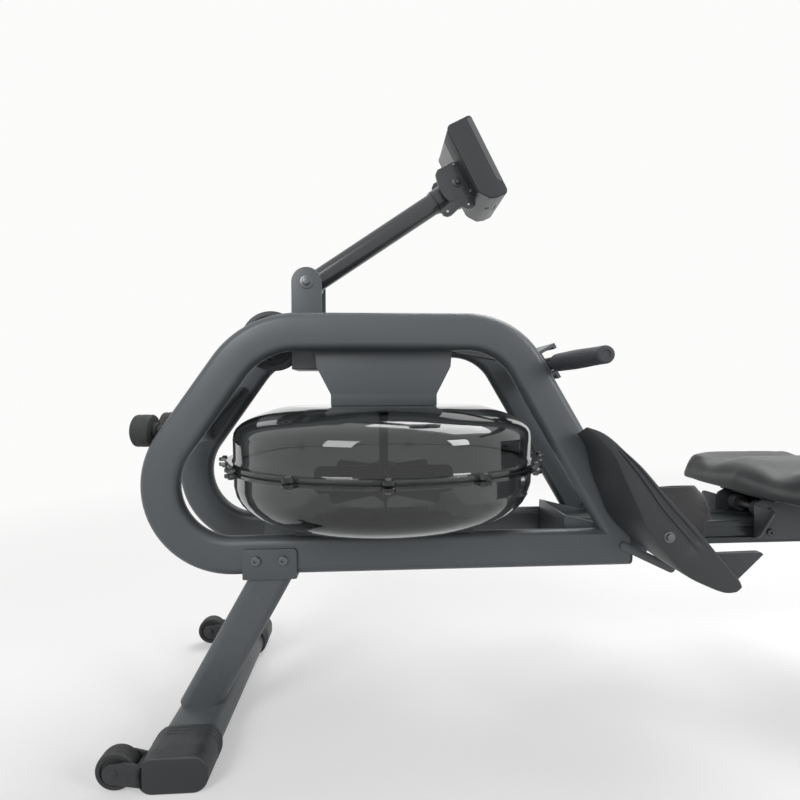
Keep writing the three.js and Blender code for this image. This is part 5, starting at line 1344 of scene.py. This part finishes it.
def buildIdler():
    (x, z), half, inside = idler["at"], idler["wide"] / 2, idler["inside"]
    side = [(half - 3.6, 49), (half - 3, 50), (half - 0.8, 50), (half, 48.6), (half, 42), (half - 3.5, 40),
            (half - 3.5, 14), (half, 12.6), (half, 7.6), (half - 2, 7)]
    groove = [(-12.8, 36.2), (-12.4, 35), (12.4, 35), (12.8, 36.2)]
    wheel = discStack("idlerPulley", [(-y, radius) for y, radius in reversed(side)] + groove + side, 72)
    cutAway(wheel, *(movePiece(discStack("hole", [(-30, 7), (30, 7)], 24), ringPlace(27, 2 * math.pi * i / 6))
                     for i in range(6)))
    finishPiece(onAxis(wheel, "Y", spot(x, 0, z)), "blackPlastic", "idler", ["idler_wheel"], 34)
    side = [(half + 0.4, 6), (half + 0.4, 11.2), (half + 0.8, 12), (inside - 1, 12), (inside, 11), (inside, 5.4)]
    axle = discStack("idlerShaft", [(-y, radius) for y, radius in reversed(side)] + side, 40)
    finishPiece(onAxis(axle, "Y", spot(x, 0, z)), "satinSteel", "machine", ["idler_axle"], 34)


def buildSpool():
    foot, thin, rim = spool["foot"], spool["drum"], spool["rim"]
    low, high = spool["middle"] - spool["half"], spool["middle"] + spool["half"]
    drum = discStack("strapSpoolDrum", [(foot, 20), (foot + 1, thin), (low - 5, thin), (low - 4, 30), (low - 4, 48.8),
                                        (low - 3, rim), (low - 0.9, rim), (low, 48.8), (low, 36), (high, 36),
                                        (high, 48.8), (high + 0.9, rim), (high + 3, rim), (high + 4, 48.8),
                                        (high + 4, 16), (high + 5.2, 15), (high + 5.2, 9)], 72)
    cutAway(drum, *(movePiece(discStack("hole", [(high + 1.6, 6.5), (high + 12, 6.5)], 24),
                              ringPlace(27, 2 * math.pi * (i + 0.5) / 5)) for i in range(5)))
    finishPiece(onTank(drum), "blackPlastic", "spool", ["strap_spool"], 34)


def ribbonPiece(name, places, widths):  # a strap with rounded hems, its map running along it
    sections = []
    across = [(-1, 0), (-0.94, -0.62), (-0.9, -0.8), (-0.82, -0.5), (0, -0.5), (0.82, -0.5), (0.9, -0.8), (0.94, -0.62),
              (1, 0), (0.94, 0.62), (0.9, 0.8), (0.82, 0.5), (0, 0.5), (-0.82, 0.5), (-0.9, 0.8), (-0.94, 0.62)]
    for i, place in enumerate(places):
        before, after = places[max(i - 1, 0)], places[min(i + 1, len(places) - 1)]
        along = (Vector(after) - Vector(before)).normalized()
        side = Vector(widths[i]).normalized()
        up = along.cross(side).normalized()
        sections.append([Vector(place) + side * (u * strap["wide"] / 2) + up * (v * strap["thick"] / 2)
                         for u, v in across])
    return onTank(loftSections(name, sections, mapped=True))


def buildStraps():
    x, z = idler["at"]
    endX, endZ = strap["pull"]
    fall = math.atan2(z + strap["radius"] - endZ, endX - x)
    leave = math.pi / 2 - fall

    def onWheel(angle):
        return Vector((x + strap["radius"] * math.cos(angle), 0, z + strap["radius"] * math.sin(angle)))

    places, widths = [], []
    for i in range(40):
        places.append(onWheel(leave + (1.5 * math.pi - leave) * i / 39))
        widths.append((0, 1, 0))
    start = onWheel(1.5 * math.pi) + Vector((math.sqrt(idler["rim"] ** 2 - idler["groove"] ** 2), 0, 0))
    end = Vector(strap["end"])
    for i in range(29):
        share = i / 28
        eased = share * share * (3 - 2 * share)
        places.append(Vector((start.x + (end.x - start.x) * share, end.y * eased, start.z + (end.z - start.z) * eased)))
        widths.append((0, math.cos(math.pi / 2 * eased), math.sin(math.pi / 2 * eased)))
    drive = ribbonPiece("driveWebbing", places, widths)
    finishPiece(drive, "webbingCloth", "machine", ["drive_strap"], 40)
    first, last = onWheel(leave), Vector((endX, 0, endZ))
    pull = ribbonPiece("pullWebbing", [first.lerp(last, i / 24) for i in range(25)], [(0, 1, 0)] * 25)
    finishPiece(pull, "webbingCloth", None, ["pull_strap"], 40)
    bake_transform(pull)


def buildImpeller():
    low, shaft, hub, top, thick = (paddle[k] for k in ("bladeLow", "shaft", "hub", "top", "thick"))
    high = low + paddle["bladeTall"]
    rod = discStack("impellerPaddle", [(paddle["low"], 6.8), (paddle["low"] + 1.2, shaft), (low, shaft), (low, hub - 1),
                                       (low + 1, hub), (high - 1, hub), (high, hub - 1), (high, shaft),
                                       (top - 1, shaft), (top, shaft - 1)], 40)
    blade = smallBlock("blade", (4, -thick / 2, low + thick), (paddle["radius"], thick / 2, high - thick))
    bevelPicked(blade, "EDGE", lambda c, d: abs(d.y) > 0.9 and c.x > 0.1, 12, 5)
    softEdges(blade, 0.8, 2, 50)
    blades = [copyPiece(blade, "blade", Matrix.Rotation(2 * math.pi * i / 8, 4, "Z")) for i in range(1, 8)]
    piece = onTank(joinPieces("impellerPaddle", [rod, blade] + blades))
    finishPiece(piece, "blackPlastic", "paddle", ["impeller"], 34)


buildIdler()
buildSpool()
buildStraps()
buildImpeller()
print("idler, spool, straps and impeller made")

# ---- seat: padded cushion on a tray ----
seat = {"middle": 753, "halfLong": 131, "halfWide": 160, "low": -70, "tall": 54, "round": 15, "hem": 4, "cuts": 36,
        "shrink": 1.6, "voxel": 0.005, "pressure": 4, "frames": 20, "cap": 0.005, "hold": 0.014}


def seatDraw(u, v):  # the sides pull in ahead of the middle and a little behind it
    return 1 - 0.1 * (1 - v * v) * (1 if u < 0 else 0.25), 1 - 0.06 * u * u


def seatPoint(u, v, w):  # a point of a cube's skin, carried to the cushion
    half = (seat["halfLong"] - seat["shrink"], seat["halfWide"] - seat["shrink"], seat["tall"] / 2)
    place = [share * size for share, size in zip((u, v, w), half)]
    turn = seat["hem"] + (seat["round"] - seat["hem"]) * sCurve(w, -0.7, 0.5)
    kept = [max(-size + turn, min(size - turn, value)) for value, size in zip(place, half)]
    rest = Vector([value - inner for value, inner in zip(place, kept)])
    if rest.length > 1e-6:
        far = max(abs(component) for component in rest)
        rest = rest.normalized() * far
    x, y, z = (inner + step for inner, step in zip(kept, rest))
    around, narrow = seatDraw(u, v)
    corner = 1 - 0.145 * u * u * v * v
    edge = max(abs(u), abs(v))
    dish = 0.25 * math.exp(-(((abs(v) - 0.56) / 0.2) ** 2)) * (1 - (0.15 if u < 0 else 0.8) * u * u)
    top = z / seat["tall"] + 0.5
    z -= seat["tall"] * top * (dish + 0.05 * edge ** 6)
    draw = 1 - 0.06 * top ** 1.5
    return seat["middle"] + x * around * corner * draw, y * narrow * draw, seat["low"] + seat["tall"] / 2 + z


def swell(piece):  # the skin is blown up a little over its foam, held at the tray
    selectOnly(piece)
    piece.data.remesh_voxel_size = seat["voxel"]
    bpy.ops.object.voxel_remesh()
    lowest = min(v.co.z for v in piece.data.vertices)
    group = piece.vertex_groups.new(name="tray")
    group.add([v.index for v in piece.data.vertices if v.co.z < lowest + seat["hold"]], 1, "ADD")
    cloth = piece.modifiers.new("Cloth", "CLOTH")
    cloth.settings.use_pressure = True
    cloth.settings.uniform_pressure_force = seat["pressure"]
    cloth.settings.vertex_group_mass = "tray"
    cloth.settings.effector_weights.gravity = 0
    for frameNumber in range(1, seat["frames"] + 1):
        bpy.context.scene.frame_set(frameNumber)
    shown = piece.evaluated_get(bpy.context.evaluated_depsgraph_get())
    moved = [v.co.copy() for v in shown.data.vertices]
    bpy.context.scene.frame_set(1)
    piece.modifiers.remove(cloth)
    piece.vertex_groups.clear()
    for vert, target in zip(piece.data.vertices, moved):
        step = target - vert.co
        if step.length > seat["cap"]:
            step *= seat["cap"] / step.length
        vert.co += step
    applyModifier(piece, "SMOOTH", factor=0.5, iterations=4)
    applyModifier(piece, "SUBSURF", levels=1)


def buildSeat():
    deselectAll()
    bpy.ops.mesh.primitive_cube_add(size=2)
    cushion = openEdit("seatPad")
    bpy.ops.mesh.select_all(action="SELECT")
    bpy.ops.mesh.subdivide(number_cuts=seat["cuts"])
    mesh = bmesh.from_edit_mesh(cushion.data)
    for vert in mesh.verts:
        vert.co = spot(*seatPoint(*vert.co))
    bmesh.update_edit_mesh(cushion.data)
    closeEdit()
    swell(cushion)
    finishPiece(cushion, "seatSkin", "seat", ["seat_cushion"], 50)
    outline = []
    for i in range(96):
        angle = 2 * math.pi * i / 96
        u, v = (math.copysign(abs(share) ** 0.45, share) for share in (math.cos(angle), math.sin(angle)))
        around, narrow = seatDraw(u, v)
        outline.append((seat["middle"] + (seat["halfLong"] - 5) * u * around * 0.97,
                        (seat["halfWide"] - 5) * v * narrow))
    tray = softEdges(plateXY("seatTray", outline, seat["low"] - 0.2, seat["low"] + 5), 1.4, 3, 50)
    finishPiece(tray, "blackPlastic", "seat", (), 40)


# ---- carriage with its rollers ----
carriage = {"reach": (643, 863), "plate": (662, 844, 64, -78.3, -70.3), "side": (44, 48),
            "z": (-145.5, -74.3, -82.7), "axle": (85, -97.7, 6), "pin": (-133.5, 6, 34.6), "roller": (26, 8, 15),
            "skirt": [(46, -86), (80, -86), (85, -88), (86.5, -92), (60, -136), (55, -140), (46, -140)],
            "skirtReach": (640, 644)}


def buildCarriage():
    (x0, x1), (inner, outer), (low, top, shoulder) = carriage["reach"], carriage["side"], carriage["z"]
    reach, axleZ, radius = carriage["axle"]
    pinZ, pinRadius, pinInner = carriage["pin"]
    a, b, half, plateLow, plateHigh = carriage["plate"]
    parts = [softEdges(block("seatCarriagePlate", (a, -half, plateLow), (b, half, plateHigh)), 1.4, 3)]
    outline = roundCorners([(x0, low), (x1, low), (x1, shoulder), (x1 - 16, top), (x0 + 16, top), (x0, shoulder)],
                           [6, 6, 5, 5, 5, 5], 5)
    for sign in (-1, 1):
        parts.append(softEdges(plateXZ("side", outline, *span(sign, inner, outer)), 0.8, 2, 50))
        lipLow, lipHigh = span(sign, 36, inner)
        parts.append(softEdges(block("lip", (x0 + 18, lipLow, top - 4), (x1 - 18, lipHigh, top)), 0.8, 2))
        skirt = roundCorners([(sign * y, z) for y, z in carriage["skirt"]], [0, 3, 3, 3, 4, 4, 0], 4)
        parts.append(softEdges(plateYZ("skirt", skirt, *carriage["skirtReach"]), 0.9, 2, 50))
        for x in (seat["middle"] - reach, seat["middle"] + reach):
            for z, size in ((axleZ, 6.8), (pinZ, 6.2)):
                parts.append(outward(socketScrew("head", size, 3.4), spot(x, sign * outer, z), sign))
            pin = discStack("pin", [(pinInner, pinRadius - 1), (pinInner + 1, pinRadius), (outer - 1, pinRadius)], 28)
            parts.append(outward(pin, spot(x, 0, pinZ), sign))
    for x in (seat["middle"] - reach, seat["middle"] + reach):
        axle = discStack("axle", [(-outer + 1, radius), (outer - 1, radius)], 28)
        parts.append(onAxis(axle, "Y", spot(x, 0, axleZ)))
    piece = joinPieces("seatCarriagePlate", parts)
    finishPiece(piece, "blackPaint", "seat", ["seat_carriage"], 32)
    side, wide, size = carriage["roller"]
    for end, step in (("front", -reach), ("rear", reach)):
        half = [(0.3, size - 0.6), (0.6, size), (wide - 1.6, size), (wide - 0.3, 14.2), (wide, 12.8),
                (wide - 1.2, 12.2), (wide - 1.2, 9), (wide, 8.6), (wide, radius + 0.7)]
        wheel = discStack(f"{end}RightRoller", [(-y, r) for y, r in reversed(half)] + half, 44)
        onAxis(wheel, "Y", spot(seat["middle"] + step, side, axleZ))
        finishPair(wheel, "softRubber", end + "_{}_wheel", end + "_{}_roller", 34)


# ---- rail with its mount, end cap, rear leg and feet ----
rail = {"reach": (302.5, 1647.5), "half": 40, "top": -113, "low": -154, "deep": 6, "grooveHalf": 9.6, "cap": 7,
        "capSize": (88, 49), "mount": (298.2, 442), "inside": 60.7, "sheet": 4, "bar": (420, -98)}
rearLeg = {"x": 1560, "plateHalf": 45, "post": (60, 48), "foot": (-392, 60, 38, 225), "shoe": (68, 46, 164, 229)}


def buildRail():
    half, deep, groove = rail["half"], rail["half"] - rail["deep"], rail["grooveHalf"]
    low, top, (wide, tall) = rail["low"], rail["top"], rail["capSize"]
    middle = (top + low) / 2
    side = [(half, low), (half, middle - groove), (deep, middle - groove), (deep, middle + groove),
            (half, middle + groove), (half, top), (15, top), (13, top - 3), (3, top - 3)]
    radii = [3, 1, 1.5, 1.5, 1, 3.4, 0.8, 0.8, 0]
    outline = roundCorners(side + [(-y, z) for y, z in reversed(side)], radii + radii[::-1], 4)
    piece = plateYZ("seatRailTrack", outline, *rail["reach"])
    finishPiece(piece, "railMetal", "machine", ["seat_rail"], 32)
    end = rail["reach"][1] + 0.3
    cap = softEdges(plateYZ("railEndPlug", stadium(0, middle, wide, tall, 8, 6), end, end + rail["cap"]), 1.8, 3, 50)
    far = spot(end + rail["cap"], 0, 0).x
    editPiece(cap)
    pick("FACE", lambda c, n: n.x > 0.95 and abs(c.x - far) < 0.0002)
    bpy.ops.mesh.inset(thickness=7 * mm, depth=0)
    bpy.ops.mesh.inset(thickness=1 * mm, depth=-1.2 * mm)
    leaveEdit()
    finishPiece(cap, "blackPlastic", "machine", ["rail_end_cap"], 32)


def buildRailMount():
    (front, back), (x, z), inside, sheet, top = (rail[k] for k in ("mount", "bar", "inside", "sheet", "top"))
    under = rail["low"] - 0.3 - sheet
    outline = roundCorners([(front, under), (back, under), (back, z + 16.5), (x - 22, z + 16.5), (x - 41, top),
                            (front, top + 20.5)], [2, 8, 9, 7, 8, 6], 5)
    parts = [softEdges(plateXZ("cheek", outline, *span(sign, inside - sheet, inside)), 0.8, 2, 50) for sign in (-1, 1)]
    for a, b, high in ((front, back - 0.4, under + sheet), (front, front + sheet, top + 20)):
        parts.append(softEdges(block("sheet", (a, -inside + 1, under), (b, inside - 1, high)), 0.8))
    parts += [downward(hexBolt("bolt", 6.5, 4.6, 10), spot(boltX, boltY, under)) for boltX in (335, 400)
              for boltY in (-24, 24)]
    piece = joinPieces("railMountPlates", parts)
    finishPiece(piece, "framePaint", "machine", ["rail_mount"], 30)


def buildRearLeg():
    x, (z, wide, tall, half), (a, b) = rearLeg["x"], rearLeg["foot"], rearLeg["post"]
    under = rail["low"] - 0.3
    post = tubePiece("rearLegSheet", a, b, spot(x, 0, z), (0, 0, 1), under - 2 - z)
    foot = softEdges(plateXZ("foot", stadium(x, z, wide, tall), -half, half), 0.8, 2, 50)
    x0, x1 = x - rearLeg["plateHalf"], x + rearLeg["plateHalf"]
    side, below = rail["half"], under - rail["sheet"]
    outline = roundCorners([(x0, -side), (x1, -side), (x1, side), (x0, side)], 6, 4)
    plate = plateXY("plate", outline, below, under)
    parts = [post, foot, softEdges(plate, 0.8, 2, 50)]
    for height in (below - 2.2, z + tall / 2 - 1.2):
        bead = plateXY("bead", stadium(x, 0, a + 4, b + 4), height, height + 2.6)
        parts.append(softEdges(bead, 1.1, 2, 50))
    parts += [downward(hexBolt("bolt", 6, 4.4, 8.6), spot(x + boltX, boltY, below)) for boltX in (-38, 38)
              for boltY in (-29, 29)]
    finishPiece(joinPieces("rearLegSheet", parts), "framePaint", "machine", ["rear_leg_frame"], 32)
    wide, tall, near, far = rearLeg["shoe"]
    shoe = softEdges(plateXZ("rightRearShoe", stadium(x, z, wide, tall, 19), near, far), 2.6, 4, 50)
    ribs = endRibs(x, z, wide, tall, 19, (near + 7, near + 13, near + 19))
    finishPair(joinPieces("rightRearShoe", [shoe] + ribs), "blackPlastic", "machine", "{}_rear_foot")


buildSeat()
buildCarriage()
buildRail()
buildRailMount()
buildRearLeg()
print("seat, rail and rear leg made")

# ---- nodes that keep their solids, with their finishes ----
carried = {"framePaint": ["handle_rest"]}
for finishName, names in carried.items():
    for name in names:
        nodes[name].data.materials.clear()
        nodes[name].data.materials.append(finish[finishName])
print("carried nodes finished")

deselectAll()
